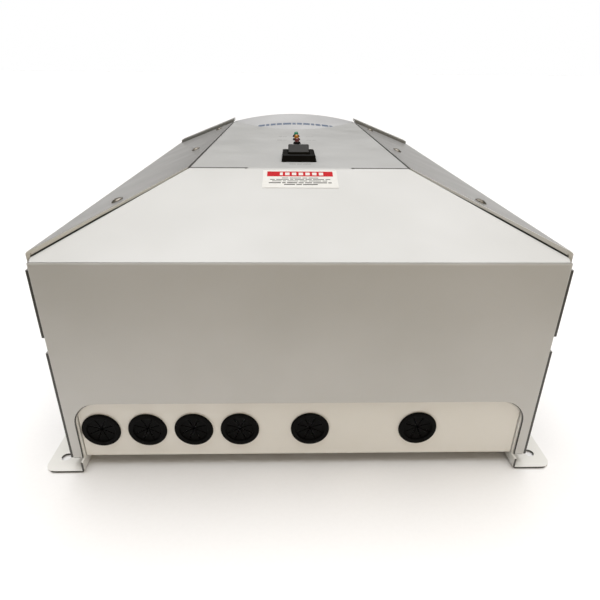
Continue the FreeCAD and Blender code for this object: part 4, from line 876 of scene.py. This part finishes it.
@dataclass
class Sheets:
    """The folded sheets of the enclosure.

    A sheared edge has a radius of a few tenths once it is coated, and that is what gives each
    sheet its bright outline.
    """

    edge_mm: float = 0.35
    rim_mm: float = 0.9
    bend_mm: float = 2.4
    end_depth: float = 4.0
    slit_y: float = -154.2
    bolt_place: tuple[float, float] = (217.0, 283.0)
    bolt_radius: float = 5.2
    slit_half: float = 2.4
    slit_inner: float = 40.0
    slit_low: float = 225.0
    slit_face: float = 3e-4
    cutout_top: float = 70.0
    cutout_half: float = 200.0
    front_depth: float = 1.0
    coats: dict[str, tuple[Finish, str]] = field(default_factory=lambda: {
        "front_cover": (WHITE_COAT, "white_coat"),
        "cable_entry_plate": (ENTRY_COAT, "white_coat"),
        "mounting_rail_left": (RAIL_COAT, "white_coat"),
        "mounting_rail_right": (RAIL_COAT, "white_coat"),
        "side_cover_left": (SHADED_SIDE_COAT, "side_coat"),
        "side_cover_right": (SHADED_SIDE_COAT, "side_coat"),
        "rear_band_left": (BAND_COAT, "side_coat"),
        "rear_band_right": (BAND_COAT, "side_coat"),
        "rear_end_plate": (SHADED_SIDE_COAT, "side_coat"),
        "chassis_pan": (ZINC, "zinc_sheet"),
        "seam_rail_left": (ZINC, "zinc_sheet"),
        "seam_rail_right": (ZINC, "zinc_sheet"),
    })

    def paint_edge_shade_and_highlight(self, piece: bpy.types.Object) -> None:
        """Paint shade in the dark coat on the front edge faces at the entry end, and paint a highlight in
        bright white on the hem.
        """
        piece.data.materials.append(EDGE_SHADE.material())
        piece.data.materials.append(RAIL_COAT.material())
        front = min(corner.co.y for corner in piece.data.vertices) + self.end_depth * MM
        for face in piece.data.polygons:
            # Painted shade: the front edge faces at the entry end take the dark coat
            if face.normal.y < -0.9 and face.center.y < front:
                face.material_index = 1
            # Painted highlight: hem faces that turn inwards and forwards take the bright white coat
            elif face.normal.y < -0.3 and face.normal.x * face.center.x < -0.3 * abs(face.center.x):
                face.material_index = 2

    def paint_opening_shade(self, piece: bpy.types.Object, node: str) -> None:
        """Paint shade in the dark coat round the cut-out's rim as a shadow line, in relief slits and bolt
        holes, and on rail ends.
        """
        piece.data.materials.append(EDGE_SHADE.material())
        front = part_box(node)[0].y / MM + self.front_depth
        for face in piece.data.polygons:
            spot, normal = face.center / MM, face.normal
            if node == "front_cover":
                # Painted shadow: the cut-out's rim faces take the dark coat as the shadow line under the
                # cover's lip
                rim = (spot.y < front and spot.z < self.cutout_top and abs(spot.x) < self.cutout_half
                       and -0.97 < normal.y < -0.05)
                # Painted shade: the relief slits' walls take the dark coat as the shade inside them
                slit = (abs(spot.y - self.slit_y) < self.slit_half and abs(spot.x) > self.slit_inner
                        and spot.z > self.slit_low and face.area < self.slit_face and normal.z < 0.995)
                painted_shade = rim or slit
            else:
                off = Vector((abs(spot.x), abs(spot.y))) - Vector(self.bolt_place)
                # Painted shade: the bolt holes' walls take the dark coat as the shade inside them; the rails'
                # front end faces are darker in the same coat
                hole = off.length < self.bolt_radius and abs(normal.z) < 0.9
                rail_end = node.startswith("mounting") and normal.y < -0.9 and spot.y < front
                painted_shade = hole or rail_end
            if painted_shade:
                face.material_index = 1

    def build(self) -> None:
        """Round the edges of every sheet and coat it."""
        for node, (coat, slot) in self.coats.items():
            piece = new_object(f"{node}_sheet", merged_mesh(node))
            round_edges(piece, self.rim_mm if node == "front_cover" else self.edge_mm, self.bend_mm)
            dress(piece, coat)
            if node.startswith("side_cover"):
                self.paint_edge_shade_and_highlight(piece)
            elif slot == "white_coat":
                self.paint_opening_shade(piece, node)
            publish(piece, Body.ENCLOSURE, slot, node)


@dataclass
class Screws:
    """One kind of pan-head screw, set wherever a CAD node has one."""

    node: str
    axis: Vector | None = None
    head_radius: float = 5.4
    head_height: float = 2.5
    shank_radius: float = 2.05
    recess_reach: float = 2.7
    recess_half: float = 0.62
    recess_depth: float = 1.5
    dome_share: float = 0.72
    wall_slope: float = 0.18
    end_slope: float = 1.1
    facet_step: float = 9.0
    head_room: float = 2.6
    longest: float = 19.5

    def blank(self) -> bpy.types.Object:
        """Build one screw with its dome and cross recess, head up, its seat at the origin."""
        crown, edge = self.head_height * MM, self.head_radius * MM
        rise = crown * self.dome_share
        sphere = (edge ** 2 + rise ** 2) / (2 * rise)
        top = [
            (edge * share, crown - sphere + math.sqrt(sphere ** 2 - (edge * share) ** 2))
            for share in (1 - step / 22 for step in range(22))
        ]
        depth = -self.length_mm() * MM
        outline = [(0, depth), (self.shank_radius * MM * 0.8, depth), (self.shank_radius * MM, depth * 0.9),
                   (self.shank_radius * MM, 0), (edge * 0.97, 0), (edge, 0.12 * MM), *top, (0, crown)]
        work = bmesh.new()
        revolve(work, outline, steps=64)
        for corner in work.verts:
            if corner.co.z > 0.2 * MM:
                corner.co.z -= self.sunk(corner.co.x, corner.co.y)
        made = from_bmesh(f"{self.node}_blank", work)
        soften(made, 38)
        return made

    def sunk(self, x: float, y: float) -> float:
        """Depth of the cross recess at a place on the head, in metres."""
        across, along = sorted((abs(x), abs(y)))
        wall = min(1.0, max(0.0, (self.recess_half * MM - across) / (self.wall_slope * MM)))
        reach = min(1.0, max(0.0, (self.recess_reach * MM - along) / (self.end_slope * MM)))
        return self.recess_depth * MM * wall * reach

    def length_mm(self) -> float:
        """Length of the shank, from the node's own size."""
        low, high = islands(self.node)[0]
        return min(max(high - low) / MM - self.head_room - 0.1, self.longest)

    def seats(self) -> list[tuple[Vector, Vector]]:
        """Find the seat and the axis of each screw in the CAD node."""
        places = []
        for low, high in islands(self.node):
            middle = (low + high) / 2
            if self.axis is None:
                step = self.facet_step * MM
                seat, normal = Surface("side_cover_left", "side_cover_right").below(middle.x, middle.y + step)
                places.append((seat - Vector((0, step, 0)), normal.copy()))
                continue
            facing = self.axis if self.node != "rail_screws" else self.axis * (-1 if middle.x > 0 else 1)
            reach = max(abs(c) for c in (high - low)) / 2 - self.head_room * MM
            places.append((middle + facing * reach, facing))
        return places

    def build(self) -> None:
        """Set the screws."""
        part = self.blank()
        seats = self.seats()
        host = point_mesh(self.node, [p for p, _ in seats], [a for _, a in seats])
        recipe = instancer(f"{self.node}_recipe", NICKEL)
        piece = recipe.make(f"{self.node}_heads", host, {"Part": part, "Spin": 1.5, "Seed": SEED})
        bpy.data.objects.remove(part)
        publish(piece, Body.ENCLOSURE, "plated_screws", self.node)


@dataclass
class Grommets:
    """The six cable grommets: a rounded flange, a groove over the plate and slit leaves."""

    flange_radius: float = 17.0
    bore_radius: float = 12.2
    groove_radius: float = 13.9
    front_mm: float = 2.15
    back_mm: float = 2.0
    plate_mm: float = 2.0
    leaves: int = 8
    slit_mm: float = 0.7
    dish_mm: float = 1.3

    def ring(self) -> bpy.types.Object:
        """Build the ring, its axis along Z and the plate's outer face at zero."""
        outer, inside, front = self.flange_radius, self.bore_radius, self.front_mm
        back = -self.plate_mm - self.back_mm
        lip, mouth = 1.5, 1.0
        outline = [(outer - 0.4, 0.0), *arc((outer - lip, front - lip), lip, 0, 90, 6),
                   *arc((inside + mouth, front - mouth), mouth, 90, 180, 5), (inside, back + 0.4),
                   (inside + 0.4, back), (outer - 0.6, back), (outer, back + 0.6), (outer, -self.plate_mm),
                   (self.groove_radius, -self.plate_mm), (self.groove_radius, 0.0)]
        work = bmesh.new()
        scaled = [(r * MM, z * MM) for r, z in outline]
        revolve(work, [*scaled, scaled[0]], steps=72)
        bmesh.ops.remove_doubles(work, verts=work.verts, dist=1e-6)
        made = from_bmesh("grommet_ring", work)
        soften(made, 40)
        return made

    def leaf(self) -> bpy.types.Object:
        """Build one leaf of the membrane: a wedge that sinks towards the middle."""
        half = math.pi / self.leaves
        outer = (self.bore_radius + 0.3) * MM
        inner = 1.1 * MM
        rings = 7
        columns = 5
        work = bmesh.new()
        layers = []
        for thickness in (0.0, 1.0):
            grid = []
            for ring in range(rings + 1):
                radius = inner + (outer - inner) * ring / rings
                slack = math.asin(min(0.9, self.slit_mm * MM / 2 / radius))
                span = half - slack
                row = []
                for column in range(columns + 1):
                    angle = -span + 2 * span * column / columns
                    share = radius / outer
                    height = (self.front_mm - 1.5 - self.dish_mm * (1 - share ** 2) - thickness) * MM
                    row.append(work.verts.new((radius * math.cos(angle), radius * math.sin(angle), height)))
                grid.append(row)
            layers.append(grid)
        for grid in layers:
            for ring in range(rings):
                for column in range(columns):
                    work.faces.new((grid[ring][column], grid[ring + 1][column],
                                    grid[ring + 1][column + 1], grid[ring][column + 1]))
        rim = ([(0, c) for c in range(columns + 1)] + [(r, columns) for r in range(1, rings + 1)]
               + [(rings, c) for c in range(columns - 1, -1, -1)] + [(r, 0) for r in range(rings - 1, 0, -1)])
        for (r1, c1), (r2, c2) in zip(rim, rim[1:] + rim[:1]):
            work.faces.new((layers[0][r1][c1], layers[0][r2][c2], layers[1][r2][c2], layers[1][r1][c1]))
        made = from_bmesh("grommet_leaf", work)
        soften(made, 40)
        return made

    def build(self) -> None:
        """Set a grommet in each hole of the plate."""
        ring, leaf = self.ring(), self.leaf()
        recipe = star("grommet_recipe", RUBBER)
        plate_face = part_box("cable_entry_plate")[0].y
        for number in range(1, 7):
            node = f"cable_grommet_{number}"
            low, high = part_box(node)
            centre = Vector(((low.x + high.x) / 2, plate_face, (low.z + high.z) / 2))
            host = point_mesh(node, [centre], [Vector((0, -1, 0))])
            piece = recipe.make(f"{node}_rubber", host, {"Middle": ring, "Arm": leaf, "Count": self.leaves,
                                                         "Sweep": 2 * math.pi})
            publish(piece, Body.ENCLOSURE, "grommet_rubber", node)
        for part in (ring, leaf):
            bpy.data.objects.remove(part)


@dataclass
class RockerSwitch:
    """The rocker: a gloss bezel and a textured paddle; its blade terminals are dressed with the electronics.
    """

    bezel_edge_mm: float = 0.5
    paddle_edge_mm: float = 0.45

    def build(self) -> None:
        """Round the mouldings and dress them."""
        finish_node("rocker_bezel", "rocker_bezel_moulding", NYLON, "switch_plastic", self.bezel_edge_mm,
                    segments=3)
        finish_node("rocker_paddle", "rocker_paddle_moulding", PADDLE_NYLON, "paddle_plastic",
                    self.paddle_edge_mm, Body.ROCKER, 3)


@dataclass
class Lamps:
    """Three epoxy lamps in black collars, with their wire legs."""

    radius: float = 2.95
    leg_half: float = 0.28
    leg_spacing: float = 2.54
    collar_edge_mm: float = 0.3
    finishes: dict[str, Finish] = field(default_factory=lambda: {
        "lamp_red": RED_LAMP, "lamp_amber": AMBER_LAMP, "lamp_green": GREEN_LAMP,
    })

    def lamp(self, node: str) -> bpy.types.Object:
        """Build one lamp in its place: domed barrel and two legs."""
        low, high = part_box(node)
        centre = (low + high) / 2
        crown = high.z / MM
        base = low.z / MM + 6
        dome = arc((0, crown - self.radius), self.radius, 0, 90, 12)[:-1]
        outline = [(0, base), (self.radius, base), *dome, (0, crown)]
        work = bmesh.new()
        revolve(work, [(r * MM, z * MM) for r, z in outline], steps=40)
        for side in (-1, 1):
            leg = bmesh.ops.create_cube(work, size=1.0)["verts"]
            height = (base + 1 - low.z / MM) * MM
            width, aside = 2 * self.leg_half * MM, side * self.leg_spacing / 2 * MM
            bmesh.ops.scale(work, verts=leg, vec=(width, width, height))
            bmesh.ops.translate(work, verts=leg, vec=(aside, 0, low.z + height / 2))
        bmesh.ops.translate(work, verts=work.verts, vec=(centre.x, centre.y, 0))
        made = from_bmesh(f"{node}_epoxy", work)
        soften(made, 45)
        return made

    def build(self) -> None:
        """Set the lamps and round their collars."""
        for node, finish in self.finishes.items():
            piece = self.lamp(node)
            dress(piece, finish)
            publish(piece, Body.ENCLOSURE, f"{node}_plastic", node)
        finish_node("lamp_holders", "lamp_collars", NYLON, "switch_plastic", self.collar_edge_mm)


@dataclass(frozen=True)
class PrintRow:
    """A row of print, greeked as plain bars the length of words."""

    y: float
    start: float
    end: float
    height: float
    words: tuple[float, ...] = (1.0,)
    gap: float = 1.2

    def marks(self) -> list[tuple[float, float, float, float]]:
        """Split the row into bars: middle X, middle Y, width and height, in millimetres."""
        room = self.end - self.start - self.gap * (len(self.words) - 1)
        unit = room / sum(self.words)
        made = []
        x = self.start
        for share in self.words:
            width = unit * share
            made.append((x + width / 2, self.y, width, self.height))
            x += width + self.gap
        return made


@dataclass
class Print:
    """Everything that is printed: the label's stripe and lines, the crest's bars and the legends."""

    ink_mm: float = 0.05
    film_edge_mm: float = 0.1

    def lay(self, name: str, finish: Finish, slot: str, on: Surface, rows: Sequence[PrintRow],
            lift: float = 1.0) -> None:
        """Lay rows of bars on a surface as one piece.

        Args:
            name: Name of the piece.
            finish: The ink.
            slot: The record's material slot.
            on: The surface under the print.
            rows: The rows, in millimetres.
            lift: Thickness, in coats of ink.
        """
        places, axes, sizes = [], [], []
        for row in rows:
            for x, y, width, height in row.marks():
                point, normal = on.below(x * MM, y * MM)
                places.append(point)
                axes.append(normal)
                sizes.append((width * MM, height * MM, 0.0))
        host = point_mesh(name, places, axes)
        spans = host.attributes.new("size", "FLOAT_VECTOR", "POINT")
        spans.data.foreach_set("vector", [c for s in sizes for c in s])
        piece = bars(f"{name}_recipe", finish).make(name, host, {"Thickness": 2 * lift * self.ink_mm * MM})
        publish(piece, Body.ENCLOSURE, slot)

    def build(self) -> None:
        """Dress the label and lay all the print."""
        finish_node("slope_label", "slope_label_film", LABEL, "label_film", self.film_edge_mm)
        film = Surface("slope_label")
        low, high = (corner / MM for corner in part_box("slope_label"))
        left, right, far = low.x + 4, high.x - 4, high.y
        self.lay("label_stripe", RED_INK, "label_film", film,
                 [PrintRow(far - 7.2, left, right, 9.4)])
        self.lay("label_stripe_bars", LABEL, "label_film", film,
                 [PrintRow(far - 7.2, left + 12, right - 9, 5.2, (2, 3, 3, 3, 3, 3, 3), 2.2)], lift=2)
        lines = [
            PrintRow(far - 14.6, -17, 17, 1.1, (4, 7, 3, 6)),
            PrintRow(far - 17.2, left + 3, right - 3, 1.1, (3, 8, 2, 6, 4, 7, 3)),
            PrintRow(far - 19.8, left + 5, right - 6, 1.1, (6, 2, 7, 5, 8, 3)),
            PrintRow(far - 23.0, left + 2, right - 2, 1.5, (7, 2, 6, 3, 4, 8, 2)),
            PrintRow(far - 26.0, -15, 16, 1.5, (6, 3, 8)),
        ]
        self.lay("label_lines", GREY_INK, "label_film", film, lines)
        top = Surface("front_cover", "badge_crest")
        self.lay("legend_marks", PALE_INK, "label_film", top, [
            PrintRow(-133, -10, 12, 1.6, (4, 3, 5)),
            PrintRow(46, -26, -13, 1.5, (3, 2)),
            PrintRow(46, 13, 26, 1.5, (4, 3)),
            PrintRow(82, -24, -13, 1.4, (2, 3)),
            PrintRow(82, 13, 24, 1.4, (3, 2)),
        ])
        self.lay("crest_bars", CREST_INK, "crest_plastic", top, [
            PrintRow(214, -60, 62, 13, (4, 2, 3, 3, 5, 2, 3, 4, 2, 3, 4, 2), 2.2),
        ])


@dataclass
class Crest:
    """The badge crest: a thin pearl moulding with a softly rounded rim."""

    edge_mm: float = 0.6

    def build(self) -> None:
        """Round the crest and lacquer it."""
        finish_node("badge_crest", "badge_crest_moulding", CREST, "crest_plastic", self.edge_mm, segments=3)


@dataclass
class Fan:
    """The cooling fan: moulded frame, seven-bladed rotor and wire guard."""

    edge_mm: float = 0.3

    def build(self) -> None:
        """Round the mouldings and dress the guard."""
        for node, body in (("fan_frame", Body.ENCLOSURE), ("fan_rotor", Body.FAN_WHEEL)):
            finish_node(node, f"{node}_moulding", NYLON, "switch_plastic", self.edge_mm, body)
        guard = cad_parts["fan_guard"]
        dress(guard, BRIGHT_WIRE)


@dataclass
class Chokes:
    """The two wound ring chokes: a coated core under a single layer of wire."""

    wire_mm: float = 0.75
    turns: int = 44
    sweep: float = 5.9

    def core(self, ring: float, section: float) -> bpy.types.Object:
        """Build the coated core, its axis along Z."""
        work = bmesh.new()
        steps = 72
        rows = []
        for step in range(steps):
            turn = 2 * math.pi * step / steps
            rows.append([
                work.verts.new(((ring + r) * math.cos(turn), (ring + r) * math.sin(turn), z))
                for r, z in ((section * math.cos(a), section * math.sin(a))
                             for a in (2 * math.pi * i / 24 for i in range(24)))
            ])
        for step in range(steps):
            here, following = rows[step], rows[(step + 1) % steps]
            for i in range(24):
                j = (i + 1) % 24
                work.faces.new((here[i], following[i], following[j], here[j]))
        made = from_bmesh("choke_core", work)
        soften(made, 60)
        return made

    def turn(self, ring: float, section: float) -> bpy.types.Object:
        """Build one turn of wire round the core's section."""
        made = self.core(section, self.wire_mm * MM)
        made.data.transform(Matrix.Translation((ring, 0, 0)) @ Matrix.Rotation(math.pi / 2, 4, "X"))
        return made

    def build(self) -> None:
        """Wind both chokes."""
        recipe = star("winding_recipe", COPPER)
        for side in ("left", "right"):
            node = f"boost_choke_{side}"
            low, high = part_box(node)
            section = (high.z - low.z) / 2
            ring = (high.x - low.x) / 2 - section
            core = self.core(ring, section - 2 * self.wire_mm * MM)
            turn = self.turn(ring, section - self.wire_mm * MM)
            host = point_mesh(node, [(low + high) / 2], [Vector((0, 0, 1))])
            piece = recipe.make(f"{node}_winding", host, {"Middle": core, "Arm": turn, "Count": self.turns,
                                                          "Sweep": self.sweep})
            publish(piece, Body.ENCLOSURE, "epoxy_black", node)
            for part in (core, turn):
                bpy.data.objects.remove(part)


@dataclass
class Capacitors:
    """The can capacitors: a sleeve shrunk over a crimped can with a vented end."""

    crimp_mm: float = 3.0
    vent_mm: float = 0.4

    def can(self, radius: float, height: float) -> bpy.types.Object:
        """Build one can, standing on the origin, in millimetres."""
        outline = [(0, 0), (radius - 0.5, 0), (radius, 0.5), (radius, self.crimp_mm),
                   (radius - 0.9, self.crimp_mm + 0.9), (radius, self.crimp_mm + 1.8), (radius, height - 1.5),
                   *arc((radius - 1.5, height - 1.5), 1.5, 0, 90, 5), (radius - 2.4, height),
                   (radius - 2.8, height - 0.5), (radius * 0.6, height - 0.5),
                   (1.0, height - 0.5 - self.vent_mm), (0, height - 0.5 - self.vent_mm)]
        work = bmesh.new()
        revolve(work, [(r * MM, z * MM) for r, z in outline], steps=56)
        made = from_bmesh("can_blank", work)
        soften(made, 35)
        return made

    def build(self) -> None:
        """Stand the cans on the board."""
        cans = islands("dc_link_capacitors")
        low, high = cans[0]
        part = self.can((high.x - low.x) / 2 / MM - 0.01, (high.z - low.z) / MM)
        feet = [Vector(((a.x + b.x) / 2, (a.y + b.y) / 2, a.z)) for a, b in cans]
        host = point_mesh("cans", feet, [Vector((0, 0, 1))] * len(feet))
        piece = instancer("can_recipe", SLEEVE).make("capacitor_cans", host, {"Part": part, "Spin": 6.0,
                                                                             "Seed": SEED})
        bpy.data.objects.remove(part)
        publish(piece, Body.ENCLOSURE, "capacitor_sleeve", "dc_link_capacitors")


@dataclass
class Electronics:
    """The parts inside the enclosure that keep their CAD form, with softened moulded edges."""

    rounded: dict[str, tuple[Finish, str, float]] = field(default_factory=lambda: {
        "dc_terminal_block": (TERMINAL_NYLON, "terminal_plastic", 0.5),
        "ac_terminal_block": (TERMINAL_NYLON, "terminal_plastic", 0.5),
        "relays": (TERMINAL_NYLON, "terminal_plastic", 0.8),
        "filter_capacitors": (TERMINAL_NYLON, "terminal_plastic", 0.8),
        "power_transistors": (EPOXY, "epoxy_black", 0.4),
        "fuse_holders": (EPOXY, "epoxy_black", 0.4),
        "fuses": (CERAMIC, "fuse_ceramic", 0.5),
        "output_choke": (CORE_STEEL, "choke_steel", 0.6),
        "heat_sink": (ALUMINIUM, "sink_aluminium", 0.3),
        "transistor_clamps": (ZINC, "zinc_sheet", 0.4),
        "terminal_rails": (ZINC, "zinc_sheet", 0.4),
        "switch_terminals": (BRASS, "terminal_brass", 0.12),
        "ground_bar": (BRASS, "terminal_brass", 0.4),
        "power_board": (LAMINATE, "board_laminate", 0.1),
        "control_board": (LAMINATE, "board_laminate", 0.1),
        "indicator_board": (LAMINATE, "board_laminate", 0.1),
        "terminal_screws": (NICKEL, "plated_screws", 0.2),
        "board_standoffs": (BRASS, "plated_screws", 0.3),
        "indicator_posts": (NYLON, "plated_screws", 0.2),
    })

    def build(self) -> None:
        """Round and dress every part."""
        for node, (finish, slot, edge_mm) in self.rounded.items():
            finish_node(node, f"{node}_finished", finish, slot, edge_mm)


@dataclass
class Studio:
    """Camera, pale floor and a soft overhead light with a darker room round it."""

    place: tuple[float, float, float] = (-0.01106, -0.63896, 0.33117)
    pitch: float = 25.31
    yaw: float = 1.49
    roll: float = -0.57
    lens: float = 29.553
    lobe_tilt: float = 10.0
    lobe_inner: float = 22.0
    lobe_outer: float = 48.0
    lobe_strength: float = 3.15
    room_front: float = 0.2
    room_back: float = 0.06
    room_edge: float = 0.4
    floor_gap: float = 0.0005
    room_colour: str = "fff4e0"
    floor_front: float = -0.56
    floor_reach: float = 30.0

    def camera(self) -> None:
        """Set the camera down by its pitch, yaw and roll in degrees."""
        pitch, yaw, roll = (math.radians(a) for a in (self.pitch, self.yaw, self.roll))
        forward = Vector((math.sin(yaw) * math.cos(pitch), math.cos(yaw) * math.cos(pitch), -math.sin(pitch)))
        level = Vector((math.cos(yaw), -math.sin(yaw), 0))
        down = forward.cross(level)
        right = math.cos(roll) * level + math.sin(roll) * down
        under = -math.sin(roll) * level + math.cos(roll) * down
        data = bpy.data.cameras.new("camera")
        data.sensor_width = 36
        data.lens = self.lens
        made = bpy.data.objects.new("camera", data)
        bpy.context.scene.collection.objects.link(made)
        axes = Matrix((right, -under, -forward)).transposed().to_4x4()
        made.matrix_world = Matrix.Translation(self.place) @ axes
        bpy.context.scene.camera = made

    def floor(self) -> None:
        """Lay the floor in the mounting plane."""
        reach, front = self.floor_reach, self.floor_front
        mesh = bpy.data.meshes.new("floor")
        mesh.from_pydata([(-reach, front, 0), (reach, front, 0), (reach, reach, 0), (-reach, reach, 0)], [],
                         [(0, 1, 2, 3)])
        ground = new_object("floor", mesh)
        dress(ground, PrintedFilm("studio floor", "fdfdff", 0.6, shade="fbfbfd"))
        ground.location.z = -self.floor_gap

    def world(self) -> None:
        """Light the room from a broad lobe overhead, and show white behind the object."""
        made = bpy.data.worlds.new("studio")
        made.use_nodes = True
        tree = made.node_tree
        tree.nodes.clear()
        tilt = math.radians(self.lobe_tilt)
        where = add_node(tree, "ShaderNodeTexCoord").outputs["Generated"]
        near = add_node(tree, "ShaderNodeVectorMath", {0: where}, {1: (0, math.sin(tilt), math.cos(tilt))},
                        operation="DOT_PRODUCT")
        lobe = add_node(tree, "ShaderNodeMapRange", {"Value": near.outputs["Value"]}, {
            "From Min": math.cos(math.radians(self.lobe_outer)),
            "From Max": math.cos(math.radians(self.lobe_inner)),
        }, interpolation_type="SMOOTHSTEP").outputs["Result"]
        depth = add_node(tree, "ShaderNodeSeparateXYZ", {0: where}).outputs["Y"]
        room = add_node(tree, "ShaderNodeMapRange", {"Value": depth}, {
            "From Min": -self.room_edge, "From Max": self.room_edge,
            "To Min": self.room_front, "To Max": self.room_back,
        }).outputs["Result"]
        power = add_node(tree, "ShaderNodeMix", {0: lobe, 2: room}, {3: self.lobe_strength})
        tone = add_node(tree, "ShaderNodeMix", {0: lobe}, {6: linear(self.room_colour), 7: linear("ffffff")},
                        data_type="RGBA")
        light = add_node(tree, "ShaderNodeBackground",
                         {"Strength": power.outputs[0], "Color": tone.outputs[2]})
        white = add_node(tree, "ShaderNodeBackground", values={"Strength": 1.0, "Color": linear("ffffff")})
        seen = add_node(tree, "ShaderNodeLightPath")
        both = add_node(tree, "ShaderNodeMixShader", {0: seen.outputs["Is Camera Ray"], 1: light.outputs[0],
                                                      2: white.outputs[0]})
        add_node(tree, "ShaderNodeOutputWorld", {"Surface": both.outputs[0]})
        bpy.context.scene.world = made

    def lamp(self, name: str, place: Vector, aim: Vector, size: float, watts: float) -> None:
        """Hang a soft square lamp.

        Args:
            name: Name of the lamp.
            place: Where it hangs.
            aim: Point that it faces.
            size: Side of the square, in metres.
            watts: Its power.
        """
        data = bpy.data.lights.new(name, "AREA")
        data.size = size
        data.energy = watts
        data.color = linear("ffe0a8")[:3]
        made = bpy.data.objects.new(name, data)
        bpy.context.scene.collection.objects.link(made)
        facing = (aim - place).to_track_quat("-Z", "Y").to_matrix().to_4x4()
        made.matrix_world = Matrix.Translation(place) @ facing
        made.visible_camera = False

    def build(self) -> None:
        """Make the studio."""
        self.camera()
        self.floor()
        self.world()
        self.lamp("bounce card", Vector((0.3, -1.5, 0.35)), Vector((0, -0.3, 0.05)), 1.0, 2.4)
        bpy.context.scene.view_settings.view_transform = "Standard"


def main() -> None:
    """Build every sub-assembly in order."""
    logging.basicConfig(level=logging.INFO, format="%(name)s: %(message)s")
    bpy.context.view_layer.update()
    up = Vector((0, 0, 1))
    assemblies = [
        Sheets(), Crest(), Grommets(), RockerSwitch(), Lamps(), Print(),
        Screws("facet_screws"), Screws("rail_screws", Vector((1, 0, 0))), Screws("floor_screws", up),
        Screws("board_screws", up), Screws("fan_screws", Vector((0, 1, 0))),
        Fan(), Chokes(), Capacitors(), Electronics(), Studio(),
    ]
    for assembly in assemblies:
        assembly.build()
        log.info("built %s", type(assembly).__name__)


if __name__ == "__main__":
    main()
